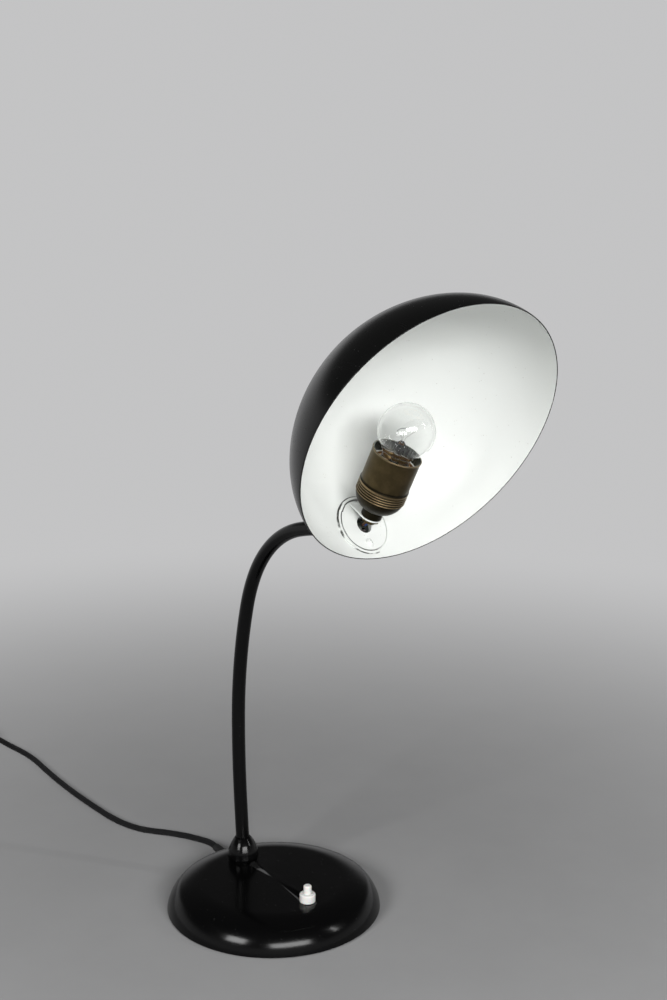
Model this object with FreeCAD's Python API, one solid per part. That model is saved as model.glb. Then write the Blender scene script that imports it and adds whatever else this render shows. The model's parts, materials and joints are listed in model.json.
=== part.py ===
"""Desk lamp: a black steel base with a push button, a bent tube arm and an enamelled shade on a ball joint.

Millimetres. The lamp stands on z = 0 with its base's centre over the origin, and faces -Y.
"""
import FreeCAD, Part
import math
import os

V = FreeCAD.Vector
os.makedirs("parts", exist_ok=True)

# Fits and gaps
RUN_GAP = 0.06          # running fit, on the radius
SEAT_GAP = 0.2          # between two bodies that bear on each other
THREAD_GAP = 0.02       # drawn between a screw and its thread, on the radius
FACE_GAP = 0.05         # between curved faces that lie on each other in one body
HOLE_GAP = 0.3          # round a screw or wire that passes freely
OVERRUN = 5.0           # how far a cutter runs past what it cuts

# Base
BASE_DIA = 195.0
COVER_WALL = 1.5
COVER_FOOT = 1.0        # height of the cover's lower edge over the table
COVER_LIP = 0.6
SIDE_RADIUS = 31.9
SHOULDER_RADIUS = 12.4
BROW_RADIUS = 54.3
SIDE_SLOPES = (9.35, 44.6, 67.2, 90.0)   # degrees from upright where the three arcs start and end
FELT_THICK = 2.0
FELT_INSET = 4.5
PLATE_THICK = 1.5
PLATE_INSET = 2.6
PLATE_DISH_RADIUS = 13.0
PLATE_DISH_RISE = 4.6
WEIGHT_THICK = 10.0
WEIGHT_MARGIN = 8.0
WEIGHT_EDGE = 2.0
STUD_DIA = 6.0
STUD_COLLAR_DIA = 14.0
STUD_FOOT_DIA = 20.0
STUD_FOOT_THICK = 2.0
BASE_NUT_FLATS = 10.0
BASE_NUT_THICK = 3.2
BASE_WASHER_DIA = 18.0
BASE_WASHER_THICK = 1.0

# Switch
SWITCH_INSET = 44.4     # from the base's edge in to the button's axis
SWITCH_COLLAR_DIA = 14.2
SWITCH_COLLAR_TALL = 7.5
SWITCH_COLLAR_TOP = 1.5
SWITCH_COLLAR_CHAMFER = 0.8
SWITCH_NECK_DIA = 10.4
SWITCH_NECK_RISE = 5.0
SWITCH_BORE_DIA = 8.6
SWITCH_BODY_DIA = 22.0
SWITCH_BODY_TALL = 16.0
SWITCH_BODY_WALL = 2.2
SWITCH_LEDGE = 1.5
BUTTON_DIA = 7.2
BUTTON_RISE = 7.6       # how far it stands over its collar
BUTTON_EDGE = 1.4
BUTTON_FLANGE = 2.0
BUTTON_STEM_DIA = 3.6
BUTTON_TRAVEL = 3.5
SPRING_WIRE = 0.7
SPRING_TURNS = 5.0
CONTACT_THICK = 0.8
CONTACT_WIDE = 3.2
CONTACT_SPACING = 9.0
TERMINAL_SPACING = 12.0
TERMINAL_HEAD_DIA = 4.4
TERMINAL_DIA = 2.4

# Arm: its centre line, as straight lengths and tangent arcs from the foot upwards
ARM_INSET = 45.9        # from the base's edge in to the foot's axis
TUBE_DIA = 12.5
TUBE_WALL = 1.25
TUBE_FOOT = 12.0        # height of the tube's lower end
FOOT_RISE = 4.2         # how far the tube rises from the base before it leans
FOOT_BEND_RADIUS = 60.0
ARM_LEAN = 4.55         # degrees that the lowest stretch leans back
ARM_STRAIGHT = 46.3
ARM_RADII = (920.0, 430.0, 145.0, 116.0, 274.0)
ARM_TURNS = (5.05, 15.23, 12.55, 46.27, 7.0)    # degrees that each arc turns forward
ARM_END_STRAIGHT = 46.0 # to the ball's centre
COLLAR_DIA = 28.8
COLLAR_FOOT_DIA = 26.8
COLLAR_ROUND = 2.4      # height of the rounding at the foot
COLLAR_SIDE_DIA = 25.0  # where the side meets the shoulder
COLLAR_SIDE_TALL = 12.6
COLLAR_SHOULDER_DIA = 20.6
COLLAR_SHOULDER_TALL = 17.4
COLLAR_TALL = 21.4
COLLAR_NECK_WALL = 1.2
COLLAR_LEAN = 2.3       # degrees that its axis leans back
FOOT_WASHER_DIA = 26.0
FOOT_WASHER_THICK = 1.6
FOOT_NUT_FLATS = 19.0
FOOT_NUT_THICK = 6.0
FOOT_WELL_DIA = 34.0    # hole in the weight round the foot

# Ball joint
BALL_DIA = 20.0
NECK_DIA = 8.5
BALL_BORE_DIA = 5.4
STUD_REACH = 17.0       # from the ball's centre to the tube's end
SHANK_LONG = 16.0
SHANK_DIA = 8.0
SLEEVE_LIP = 2.0
SLEEVE_LIP_DIA = 13.4
SNAP_RING_DIA = 9.4
SNAP_RING_THICK = 1.0
SNAP_RING_PLACE = 2.2
CUP_WALL = 2.4
CUP_LIP = 66.0          # degrees from the joint's axis to the cup's lip
CUP_FLANGE_DIA = 40.0
CUP_FLANGE_THICK = 2.0
SEAT_DIA = 49.0
SEAT_EDGE = 0.32        # what the ring is thicker than the hollow of the wall that it fills
SEAT_BORE_DIA = 14.0
SEAT_RIM = 2.0          # width of its raised edge, level with the bracket's disc
RIVET_DIA = 3.0
RIVET_HEAD_DIA = 5.6
RIVET_HEAD_THICK = 1.2
RIVET_ANGLES = (20.0, 90.0, 160.0)
JOINT_BOLT_RADIUS = 15.5

# Shade
SHADE_DIA = 231.4
SHADE_DEPTH = 92.8
SHADE_WALL = 0.8
SHADE_POWER = 1.778     # r = R (1 - k^p)^(1/p), with k the share of the depth
SHADE_TILT = 27.63      # degrees that the opening's axis points below the horizontal
SHADE_ROLL = 5.2        # degrees that the shade is turned about its own axis on the ball
JOINT_DEPTH = 28.9      # from the rim's plane to the joint's axis on the wall
BALL_LIFT = 6.6         # from the inner wall out to the ball's centre

# Socket bracket
SEAT_SHOWS = 3.0        # how far the seat ring stands out round the bracket's disc
BRACKET_THICK = 1.2
BRACKET_BEND = 1.2
TONGUE_WIDE = 18.0
TONGUE_PAST = 8.5       # past the socket's axis
CLAMP_SCREW_DIA = 4.0
CLAMP_HEAD_DIA = 8.0
CLAMP_HEAD_TALL = 2.4
CLAMP_SLOT = 1.0
CLAMP_SLOT_ANGLE = 64.0
CLAMP_ANGLE = -90.0     # where the clamp screw stands round the joint, towards the rim
CLAMP_BOSS_DIA = 8.0
CLAMP_BOSS_TALL = 3.0
SEAT_LUG_WIDE = 6.0
SEAT_LUG_OVER = 2.2
SEAT_LUG_THICK = 0.9
SEAT_LUG_ANGLES = (42.0, 138.0)

# Socket, measured along its own axis from the tongue's face
SOCKET_DEPTH = 24.0     # from the rim's plane to the axis at the tongue
SOCKET_SLANT = 2.3      # degrees that the axis leans towards the shade's crown
SOCKET_IN = 20.8        # from the ball's centre in to the tongue's face
SOCKET_COLLAR_DIA = 17.0
SOCKET_COLLAR_TALL = 7.1
CAP_TALL = 12.5
CAP_TOP_DIA = 19.0
CAP_WALL = 0.9
CAP_SLOPE = 20.0        # degrees that the cap rises over level at its top
BAND_TALL = 13.0
BAND_DIA = 40.6
BAND_PLAIN = 4.6
BAND_RIDGES = 4
BAND_GROOVE = 0.8
SHELL_DIA = 39.4
SHELL_WALL = 0.8
SHELL_TALL = 26.4
SHELL_FLARE = 0.7
NIPPLE_DIA = 10.0
NIPPLE_BORE = 7.6
NIPPLE_OUT = 4.2
NIPPLE_IN = 5.0
NIPPLE_NUT_FLATS = 13.0
NIPPLE_NUT_THICK = 2.6
INSERT_DIA = 34.0
INSERT_TALL = 9.4
INSERT_START = 16.5
TERMINAL_SHARE = 0.6    # where the terminals stand, as a share of the insert's radius
SLEEVE_DIA = 28.6
SLEEVE_WALL = 0.6
SLEEVE_GROOVES = 5
MOUTH_RING_SET = 9.5    # how far the porcelain ring sits inside the mouth
MOUTH_RING_THICK = 3.0
CENTRE_CONTACT_WIDE = 6.0

# Bulb
GLOBE_DIA = 45.0
GLOBE_PAST = 19.4       # from the socket's mouth to the globe's centre
BULB_LONG = 76.0
GLOBE_JOIN = 50.0       # degrees below the globe's equator where its throat starts
GLASS_WALL = 0.6
BULB_NECK_DIA = 24.0
BULB_CAP_DIA = 26.4
BULB_CAP_LONG = 21.0
BULB_CAP_WALL = 0.3
BULB_THREADS = 6
BULB_THREAD_DEEP = 0.8
BULB_INSULATOR_LONG = 3.6
BULB_TIP_DIA = 9.6
BULB_TIP_LONG = 1.7
STEM_DIA = 7.0
STEM_FOOT_DIA = 19.0
STEM_SHARE = 0.30       # how far past the globe's lower pole the stem reaches, as a share of its diameter
SUPPORT_WIRE = 0.4
FILAMENT_WIRE = 0.5
FILAMENT_SPAN = 20.0
FILAMENT_RISE = 10.0    # over the stem's tip

# Leads and mains cord
LEAD_DIA = 2.0
LEAD_SPACING = 2.5
CORD_DIA = 6.0
CORD_AZIMUTH = 5.0      # degrees that the outlet stands round from the back, towards +X
CORD_LIFT = 1.5         # over the bottom plate where it enters
GROMMET_DIA = 11.5
GROMMET_NECK_DIA = 8.6
GROMMET_FLANGE = 2.4
GROMMET_REACH = 20.0    # past the cover's side
GROMMET_TIP_DIA = 7.6
TAIL_INSET = 31.5       # from the base's edge in to the cord's inner end
CLAMP_INSET = 20.5      # from the base's edge in to the cord clamp's middle
CLAMP_LONG = 26.0
CLAMP_WIDE = 8.0
CLAMP_TALL = 2.6        # over the cord
CLAMP_SPACING = 18.0
CLAMP_GAP = 0.4         # between the saddle and the strap
CLAMP_BOLT_DIA = 3.0
CLAMP_BOLT_HEAD = 5.6
CLAMP_BOLT_TALL = 2.0
WEIGHT_SLOT = 30.0
LEAD_SIDE = 14.0        # how far the leads pass beside the stud
CORD_ROUTE = [(10.8, 148.0, 4.2), (5.4, 164.3, 3.0),
              (-6.7, 183.0, 3.0), (-22.7, 201.5, 3.0), (-31.6, 221.7, 3.0), (-36.6, 246.1, 3.0),
              (-38.4, 275.7, 3.0), (-39.5, 307.3, 3.0), (-40.0, 339.8, 3.0), (-39.3, 370.0, 3.0),
              (-37.6, 405.3, 3.0), (-34.6, 444.0, 3.0), (-36.4, 473.0, 3.0), (-40.0, 497.0, 3.0),
              (-43.0, 523.0, 3.3), (-46.5, 548.0, 4.1)]
COIL_TURNS = 3          # in each of two layers
COIL_PITCH = 6.6
COIL_RISE = 6.5
COIL_MID_DIA = 69.0
TIE_THICK = 0.8
TIE_WIDE = 7.0
TIE_GAP = 0.6
TIE_TURN_SHARE = 0.75   # where the tie sits, as a share of a turn from the coil's start
TIE_EDGE = 2.0
END_RUN = 20.0          # each run of the cord from the coil to the plug
END_SWING = 3.0
PLUG_LONG = 36.0
PLUG_WIDE = 35.0
PLUG_THICK = 13.7
PLUG_REAR = 14.0
PLUG_SHOULDER = 14.0    # length of the full width behind the front face
PLUG_EDGE = 2.4
PIN_DIA = 4.0
PIN_LONG = 19.0
PIN_SPACING = 19.0

# Places that follow the base's edge
ARM_Y = BASE_DIA / 2 - ARM_INSET
SWITCH_Y = SWITCH_INSET - BASE_DIA / 2
TAIL_END = BASE_DIA / 2 - TAIL_INSET
CLAMP_PLACE = BASE_DIA / 2 - CLAMP_INSET

# The seat ring's flat face stands this far in from the shade's inner wall
SEAT_THICK = SEAT_EDGE + (SEAT_DIA / 2) ** 2 / (SHADE_DIA / 2 + SHADE_DEPTH)


# Shapes that several pieces are made with
def unit(x, y):
    """The 2-D direction of (x, y)."""
    size = math.hypot(x, y)
    return x / size, y / size


def arc_mid(start, heading, end):
    """Middle point of the arc that leaves start along heading and ends at end."""
    chord = (end[0] - start[0], end[1] - start[1])
    span = math.hypot(*chord)
    along = unit(*chord)
    side = heading[0] * -along[1] + heading[1] * along[0]
    ahead = heading[0] * along[0] + heading[1] * along[1]
    sag = span / 2 * math.tan(math.atan2(side, ahead) / 2)
    return (start[0] + end[0]) / 2 - along[1] * sag, (start[1] + end[1]) / 2 + along[0] * sag


def outline_face(points, place=lambda r, h: V(r, 0, h)):
    """A flat face whose outline is a list of corners; ("arc", middle, end) is a round stretch."""
    edges = []
    here = points[0]
    for step in list(points[1:]) + [points[0]]:
        if step[0] == "arc":
            edges.append(Part.Arc(place(*here), place(*step[1]), place(*step[2])).toShape())
            here = step[2]
        elif math.hypot(step[0] - here[0], step[1] - here[1]) > 0:
            edges.append(Part.LineSegment(place(*here), place(*step)).toShape())
            here = step
    return Part.Face(Part.Wire(edges))


def turned(*points):
    """A body turned about Z from its (radius, height) outline."""
    return outline_face(points).revolve(V(0, 0, 0), V(0, 0, 1), 360)


def rod(radius, bottom, top):
    return Part.makeCylinder(radius, top - bottom, V(0, 0, bottom))


def ring(outer, inner, bottom, top):
    return rod(outer, bottom, top).cut(rod(inner, bottom - OVERRUN, top + OVERRUN))


def hexagon(flats, bottom, top):
    """A hexagonal bar on Z."""
    corner = flats / math.sqrt(3)
    points = [V(corner * math.cos(math.radians(60 * i)), corner * math.sin(math.radians(60 * i)), bottom)
              for i in range(6)]
    return Part.Face(Part.makePolygon(points + points[:1])).extrude(V(0, 0, top - bottom))


def stood(shape, origin, axis=V(0, 0, 1)):
    """The shape with its Z axis turned to axis and its origin moved to origin."""
    out = shape.copy()
    out.Placement = FreeCAD.Placement(origin, FreeCAD.Rotation(V(0, 0, 1), axis)).multiply(out.Placement)
    return out


def around(shape, angle, centre=V(0, 0, 0), axis=V(0, 0, 1)):
    out = shape.copy()
    out.rotate(centre, axis, angle)
    return out


def joined(shapes):
    """One solid fused from several."""
    out = shapes[0].fuse(list(shapes[1:])) if len(shapes) > 1 else shapes[0]
    return out.removeSplitter()


def tube(wire, radius):
    """A round bar along a wire of lines and arcs."""
    first = wire.OrderedEdges[0]
    start = first.valueAt(first.FirstParameter)
    heading = first.tangentAt(first.FirstParameter)
    if first.Orientation == "Reversed":
        start = first.valueAt(first.LastParameter)
        heading = first.tangentAt(first.LastParameter).negative()
    section = Part.Wire(Part.makeCircle(radius, start, heading))
    return wire.makePipeShell([section], True, False)


def rounded_route(points, radii=None):
    """Straight runs between the points joined by the largest tangent arcs that they allow."""
    points = [V(*p) for p in points]
    edges = []
    here = points[0]
    for before, corner, after in zip(points, points[1:], points[2:]):
        back = (before - corner).normalize()
        on = (after - corner).normalize()
        shorter = min((before - corner).Length, (after - corner).Length)
        turn = math.pi - back.getAngle(on)
        cut = 0.45 * shorter
        radius = cut / math.tan(turn / 2)
        if radii is not None:
            radii.append(radius)
        start, end = corner + back * cut, corner + on * cut
        chord = (start + end) / 2
        middle = chord + (corner - chord).normalize() * ((end - start).Length / 2 * math.tan(turn / 4))
        edges.append(Part.LineSegment(here, start).toShape())
        edges.append(Part.Arc(start, middle, end).toShape())
        here = end
    edges.append(Part.LineSegment(here, points[-1]).toShape())
    return Part.Wire(edges)


def lead(*points):
    """An insulated lead along a rounded route."""
    return tube(rounded_route(points), LEAD_DIA / 2)


nodes = {}


def keep(name, shape):
    """Name a sub-part, made of one shape or of a list of separate solids."""
    nodes[name] = Part.makeCompound(shape) if isinstance(shape, list) else shape


# Base cover: a deep-drawn steel dish of three tangent arcs and a flat crown
def base_arcs(inset):
    """Outline points of the cover's side, inset by a distance from its outer face."""
    slope = math.radians(SIDE_SLOPES[0])
    r = BASE_DIA / 2 - inset * math.cos(slope)
    z = COVER_FOOT + COVER_LIP - inset * math.sin(slope)
    points = [(r, z)]
    for radius, first, last in zip((SIDE_RADIUS, SHOULDER_RADIUS, BROW_RADIUS), SIDE_SLOPES,
                                   SIDE_SLOPES[1:]):
        a, b = math.radians(first), math.radians(last)
        m = (a + b) / 2
        size = radius - inset
        middle = (r - size * (math.cos(a) - math.cos(m)), z + size * (math.sin(m) - math.sin(a)))
        r, z = r - size * (math.cos(a) - math.cos(b)), z + size * (math.sin(b) - math.sin(a))
        points.append(("arc", middle, (r, z)))
    return points


def reversed_arcs(points):
    """The same stretch walked the other way."""
    ends = [points[0]] + [step[2] for step in points[1:]]
    out = [ends[-1]]
    for step, end in zip(reversed(points[1:]), reversed(ends[:-1])):
        out.append(("arc", step[1], end))
    return out


outer_side = base_arcs(0.0)
inner_side = base_arcs(COVER_WALL)
BASE_TOP = outer_side[-1][2][1]
CROWN_UNDER = BASE_TOP - COVER_WALL
foot_inner = (inner_side[0][0], COVER_FOOT)
lip_start = (BASE_DIA / 2 - COVER_LIP, COVER_FOOT)
lip_middle = (BASE_DIA / 2 - COVER_LIP * (1 - math.sin(math.pi / 4)),
              COVER_FOOT + COVER_LIP * (1 - math.cos(math.pi / 4)))
cover = turned(foot_inner, lip_start, ("arc", lip_middle, outer_side[0]), *outer_side[1:],
               (0.0, BASE_TOP), (0.0, CROWN_UNDER), *reversed_arcs(inner_side))
CORD_Z = FELT_THICK + PLATE_THICK + CORD_LIFT + CORD_DIA / 2
azimuth = math.radians(CORD_AZIMUTH)
cord_out = V(math.sin(azimuth), math.cos(azimuth), 0)


def on_cord(distance, across=0.0, height=CORD_Z):
    """A point at a distance from the lamp's centre along the cord's outlet."""
    side = V(cord_out.y, -cord_out.x, 0)
    return cord_out * distance + side * across + V(0, 0, height)


foot_axis = V(0, ARM_Y, 0)
switch_axis = V(0, SWITCH_Y, 0)
cover = cover.cut(stood(rod(TUBE_DIA / 2 + RUN_GAP, 0, BASE_TOP + OVERRUN), foot_axis))
cover = cover.cut(stood(rod(SWITCH_NECK_DIA / 2 + HOLE_GAP, 0, BASE_TOP + OVERRUN), switch_axis))
cover = cover.cut(stood(rod(GROMMET_NECK_DIA / 2, 0, BASE_DIA), on_cord(CLAMP_PLACE), cord_out))
keep("base_cover", cover)

# Bottom: a dished steel plate on felt, with a cast-iron weight above it, drawn up by one stud
PLATE_TOP = FELT_THICK + PLATE_THICK
DISH_TOP = PLATE_TOP + PLATE_DISH_RISE
WEIGHT_TOP = PLATE_TOP + WEIGHT_THICK
plate_radius = BASE_DIA / 2 - PLATE_INSET
dish_foot = PLATE_DISH_RADIUS + PLATE_DISH_RISE
keep("base_plate", turned((STUD_DIA / 2 + HOLE_GAP, DISH_TOP - PLATE_THICK),
                          (PLATE_DISH_RADIUS, DISH_TOP - PLATE_THICK),
                          (dish_foot, FELT_THICK), (plate_radius, FELT_THICK), (plate_radius, PLATE_TOP),
                          (dish_foot + PLATE_THICK / 2, PLATE_TOP),
                          (PLATE_DISH_RADIUS + PLATE_THICK / 2, DISH_TOP),
                          (STUD_DIA / 2 + HOLE_GAP, DISH_TOP)))
keep("felt_pad", rod(BASE_DIA / 2 - FELT_INSET, 0, FELT_THICK))
weight_radius = BASE_DIA / 2 - WEIGHT_MARGIN
well = dish_foot + PLATE_THICK
weight = turned((STUD_DIA / 2 + HOLE_GAP, DISH_TOP), (well, DISH_TOP), (well, PLATE_TOP),
                (weight_radius, PLATE_TOP),
                (weight_radius, WEIGHT_TOP - WEIGHT_EDGE), (weight_radius - WEIGHT_EDGE, WEIGHT_TOP),
                (STUD_DIA / 2 + HOLE_GAP, WEIGHT_TOP))
weight = weight.cut(stood(rod(FOOT_WELL_DIA / 2, 0, BASE_TOP), foot_axis))
switch_well = SWITCH_BODY_DIA / 2 + 3 * LEAD_DIA
weight = weight.cut(stood(rod(switch_well, 0, BASE_TOP), switch_axis))
slot = Part.makeBox(WEIGHT_SLOT, BASE_DIA, BASE_TOP, V(-WEIGHT_SLOT / 2, ARM_Y, 0))
weight = weight.cut(around(slot, -CORD_AZIMUTH))
keep("base_weight", weight)
stud_bottom = DISH_TOP - PLATE_THICK - BASE_WASHER_THICK - BASE_NUT_THICK
keep("base_stud", joined([rod(STUD_DIA / 2, stud_bottom, WEIGHT_TOP),
                          rod(STUD_COLLAR_DIA / 2, WEIGHT_TOP, CROWN_UNDER),
                          rod(STUD_FOOT_DIA / 2, CROWN_UNDER - STUD_FOOT_THICK, CROWN_UNDER)]))
washer_bottom = DISH_TOP - PLATE_THICK - BASE_WASHER_THICK
keep("base_washer", ring(BASE_WASHER_DIA / 2, STUD_DIA / 2 + HOLE_GAP, washer_bottom,
                         DISH_TOP - PLATE_THICK))
keep("base_nut", hexagon(BASE_NUT_FLATS, washer_bottom - BASE_NUT_THICK, washer_bottom).cut(
    rod(STUD_DIA / 2 + THREAD_GAP, 0, BASE_TOP)))

# Push switch: a moulded housing hangs under the crown from the white collar screwed on its neck
body_bottom = CROWN_UNDER - SWITCH_BODY_TALL
neck_top = BASE_TOP + SWITCH_NECK_RISE
collar_top = BASE_TOP + SWITCH_COLLAR_TALL
lip_under = collar_top - SWITCH_COLLAR_TOP
flange_top = lip_under - RUN_GAP
flange_bottom = flange_top - BUTTON_FLANGE
button_top = collar_top + BUTTON_RISE
ledge_top = flange_bottom - 2 * BUTTON_TRAVEL
chamber_top = ledge_top - SWITCH_LEDGE
chamber_radius = SWITCH_BODY_DIA / 2 - SWITCH_BODY_WALL
housing = turned((SWITCH_BORE_DIA / 2, ledge_top), (SWITCH_BORE_DIA / 2, neck_top),
                 (SWITCH_NECK_DIA / 2, neck_top),
                 (SWITCH_NECK_DIA / 2, CROWN_UNDER), (SWITCH_BODY_DIA / 2, CROWN_UNDER),
                 (SWITCH_BODY_DIA / 2, body_bottom), (0.0, body_bottom),
                 (0.0, body_bottom + SWITCH_BODY_WALL),
                 (chamber_radius, body_bottom + SWITCH_BODY_WALL), (chamber_radius, chamber_top),
                 (BUTTON_STEM_DIA / 2 + HOLE_GAP, chamber_top), (BUTTON_STEM_DIA / 2 + HOLE_GAP, ledge_top))
terminal_x = TERMINAL_SPACING / 2
terminal_head = body_bottom - CONTACT_THICK
for side in (-1, 1):
    housing = housing.cut(stood(rod(TERMINAL_DIA / 2 + THREAD_GAP, 0, chamber_top),
                                V(side * terminal_x, 0, 0)))
keep("switch_housing", stood(housing, switch_axis))
collar_radius = SWITCH_COLLAR_DIA / 2
thread_radius = SWITCH_NECK_DIA / 2 + THREAD_GAP
keep("switch_collar", stood(turned(
    (thread_radius, BASE_TOP), (collar_radius, BASE_TOP),
                                   (collar_radius, collar_top - SWITCH_COLLAR_CHAMFER),
    (collar_radius - SWITCH_COLLAR_CHAMFER, collar_top), (BUTTON_DIA / 2 + RUN_GAP, collar_top),
    (BUTTON_DIA / 2 + RUN_GAP, lip_under), (thread_radius, lip_under)), switch_axis))
stem_end = chamber_top - BUTTON_TRAVEL
dome_start = (BUTTON_DIA / 2, button_top - BUTTON_EDGE)
dome_end = (BUTTON_DIA / 2 - BUTTON_EDGE, button_top)
flange_radius = SWITCH_BORE_DIA / 2 - RUN_GAP
keep("switch_button", stood(turned(
    (0.0, stem_end), (BUTTON_STEM_DIA / 2, stem_end), (BUTTON_STEM_DIA / 2, flange_bottom),
                                   (flange_radius, flange_bottom),
    (flange_radius, flange_top), (BUTTON_DIA / 2, flange_top), dome_start,
    ("arc", arc_mid(dome_start, (0, 1), dome_end), dome_end), (0.0, button_top)), switch_axis))
spring_radius = (BUTTON_STEM_DIA / 2 + flange_radius) / 2
spring_low = ledge_top + SPRING_WIRE / 2 + RUN_GAP
spring_high = flange_bottom - SPRING_WIRE / 2 - SEAT_GAP
helix = Part.makeHelix((spring_high - spring_low) / SPRING_TURNS, spring_high - spring_low, spring_radius)
coil_section = Part.Wire(Part.makeCircle(SPRING_WIRE / 2, V(spring_radius, 0, 0), V(0, 1, 0)))
spring = Part.Wire(helix).makePipeShell([coil_section], True, True)
keep("switch_spring", stood(spring, switch_axis + V(0, 0, spring_low)))
blades = []
screws = []
for side in (-1, 1):
    inner = V(side * CONTACT_SPACING / 2 - CONTACT_THICK / 2, -CONTACT_WIDE / 2,
              body_bottom + SWITCH_BODY_WALL)
    upright = Part.makeBox(CONTACT_THICK, CONTACT_WIDE, (chamber_top - body_bottom - SWITCH_BODY_WALL) / 2,
                           inner)
    blades.append(stood(upright, switch_axis))
    tab = Part.makeBox(TERMINAL_HEAD_DIA, TERMINAL_HEAD_DIA, CONTACT_THICK,
                       V(side * terminal_x - TERMINAL_HEAD_DIA / 2, -TERMINAL_HEAD_DIA / 2, terminal_head))
    tab = tab.cut(stood(rod(TERMINAL_DIA / 2 + THREAD_GAP, 0, BASE_TOP), V(side * terminal_x, 0, 0)))
    blades.append(stood(tab, switch_axis))
    screw = joined([rod(TERMINAL_HEAD_DIA / 2, terminal_head - CONTACT_THICK, terminal_head),
                    rod(TERMINAL_DIA / 2, terminal_head, body_bottom + SWITCH_BODY_WALL)])
    screws.append(stood(screw, switch_axis + V(side * terminal_x, 0, 0)))
keep("switch_contacts", blades)
keep("switch_screws", screws)


# Arm: a bent tube whose centre line is worked out once and used by all that follows it
def arm_route():
    """Edges of the arm's centre line in the plane x = 0, with its end and its end's heading."""
    edges = []
    place, lean = (ARM_Y, TUBE_FOOT), 0.0

    def straight(length):
        nonlocal place
        end = (place[0] - length * math.sin(lean), place[1] + length * math.cos(lean))
        edges.append(Part.LineSegment(V(0, *place), V(0, *end)).toShape())
        place = end

    def bend(radius, degrees):
        """Turn forward by the degrees given, or back where they are negative."""
        nonlocal place, lean
        turn, sign = math.radians(degrees), math.copysign(1, degrees)
        centre = (place[0] - sign * radius * math.cos(lean), place[1] - sign * radius * math.sin(lean))
        ends = [(centre[0] + sign * radius * math.cos(lean + turn * share),
                 centre[1] + sign * radius * math.sin(lean + turn * share)) for share in (0.5, 1.0)]
        edges.append(Part.Arc(V(0, *place), V(0, *ends[0]), V(0, *ends[1])).toShape())
        place, lean = ends[1], lean + turn

    straight(BASE_TOP + FOOT_RISE - TUBE_FOOT)
    bend(FOOT_BEND_RADIUS, -ARM_LEAN)
    straight(ARM_STRAIGHT)
    for radius, degrees in zip(ARM_RADII, ARM_TURNS):
        bend(radius, degrees)
    straight(ARM_END_STRAIGHT)
    return edges, V(0, *place), lean


arm_edges, BALL_CENTRE, arm_heading = arm_route()
neck_axis = V(0, math.sin(arm_heading), -math.cos(arm_heading))     # from the ball back along the tube


def trimmed_arm(from_foot, from_ball):
    """The arm's centre line, shortened at each end."""
    first, last = arm_edges[0], arm_edges[-1]
    start = first.valueAt(first.FirstParameter) + V(0, 0, from_foot)
    low = Part.LineSegment(start, first.valueAt(first.LastParameter)).toShape()
    span = last.LastParameter - last.FirstParameter
    share = from_ball / last.Length
    high = last.Curve.toShape(last.FirstParameter, last.LastParameter - span * share)
    return Part.Wire([low] + arm_edges[1:-1] + [high])


tube_line = trimmed_arm(0.0, STUD_REACH)
tube_end_edge = tube_line.OrderedEdges[-1]
TUBE_END = tube_end_edge.valueAt(tube_end_edge.LastParameter)
tube_end_axis = tube_end_edge.tangentAt(tube_end_edge.LastParameter).normalize().negative()
bore_radius = TUBE_DIA / 2 - TUBE_WALL
keep("arm_tube", tube(tube_line, TUBE_DIA / 2).cut(tube(tube_line, bore_radius)))

# Foot: a bell-shaped collar on the tube, and a washer and nut under the crown
collar_side = (COLLAR_SIDE_DIA / 2, COLLAR_SIDE_TALL)
collar_wide = (COLLAR_DIA / 2, COLLAR_ROUND)
collar_foot = (COLLAR_FOOT_DIA / 2, 0.0)
collar_mid = arc_mid(collar_wide, (0, 1), collar_side)
side_turn = 2 * math.atan2(collar_wide[0] - collar_side[0], collar_side[1] - collar_wide[1])
side_heading = (-math.sin(side_turn), math.cos(side_turn))
collar_shoulder = (COLLAR_SHOULDER_DIA / 2, COLLAR_SHOULDER_TALL)
collar_neck = (TUBE_DIA / 2 + COLLAR_NECK_WALL, COLLAR_TALL)
bell = turned((0.0, -COLLAR_ROUND), (collar_foot[0], -COLLAR_ROUND), collar_foot,
              ("arc", arc_mid(collar_wide, (0, -1), collar_foot), collar_wide),
              ("arc", collar_mid, collar_side),
              ("arc", arc_mid(collar_side, side_heading, collar_shoulder), collar_shoulder), collar_neck,
              (0.0, COLLAR_TALL))
lean = math.radians(COLLAR_LEAN)
bell = stood(bell, foot_axis + V(0, 0, BASE_TOP), V(0, math.sin(lean), math.cos(lean)))
below = Part.makeBox(BASE_DIA, BASE_DIA, BASE_TOP, V(-BASE_DIA / 2, ARM_Y - BASE_DIA / 2, SEAT_GAP))
bell = bell.cut(below).cut(tube(tube_line, TUBE_DIA / 2 + THREAD_GAP))
keep("arm_collar", max(bell.Solids, key=lambda piece: piece.Volume))
washer_top = CROWN_UNDER - SEAT_GAP
nut_top = washer_top - FOOT_WASHER_THICK
on_tube = TUBE_DIA / 2 + THREAD_GAP
keep("foot_washer", stood(ring(FOOT_WASHER_DIA / 2, on_tube, nut_top, washer_top), foot_axis))
foot_nut = hexagon(FOOT_NUT_FLATS, nut_top - FOOT_NUT_THICK, nut_top).cut(rod(on_tube, 0, BASE_TOP))
keep("foot_nut", stood(foot_nut, foot_axis))

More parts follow.
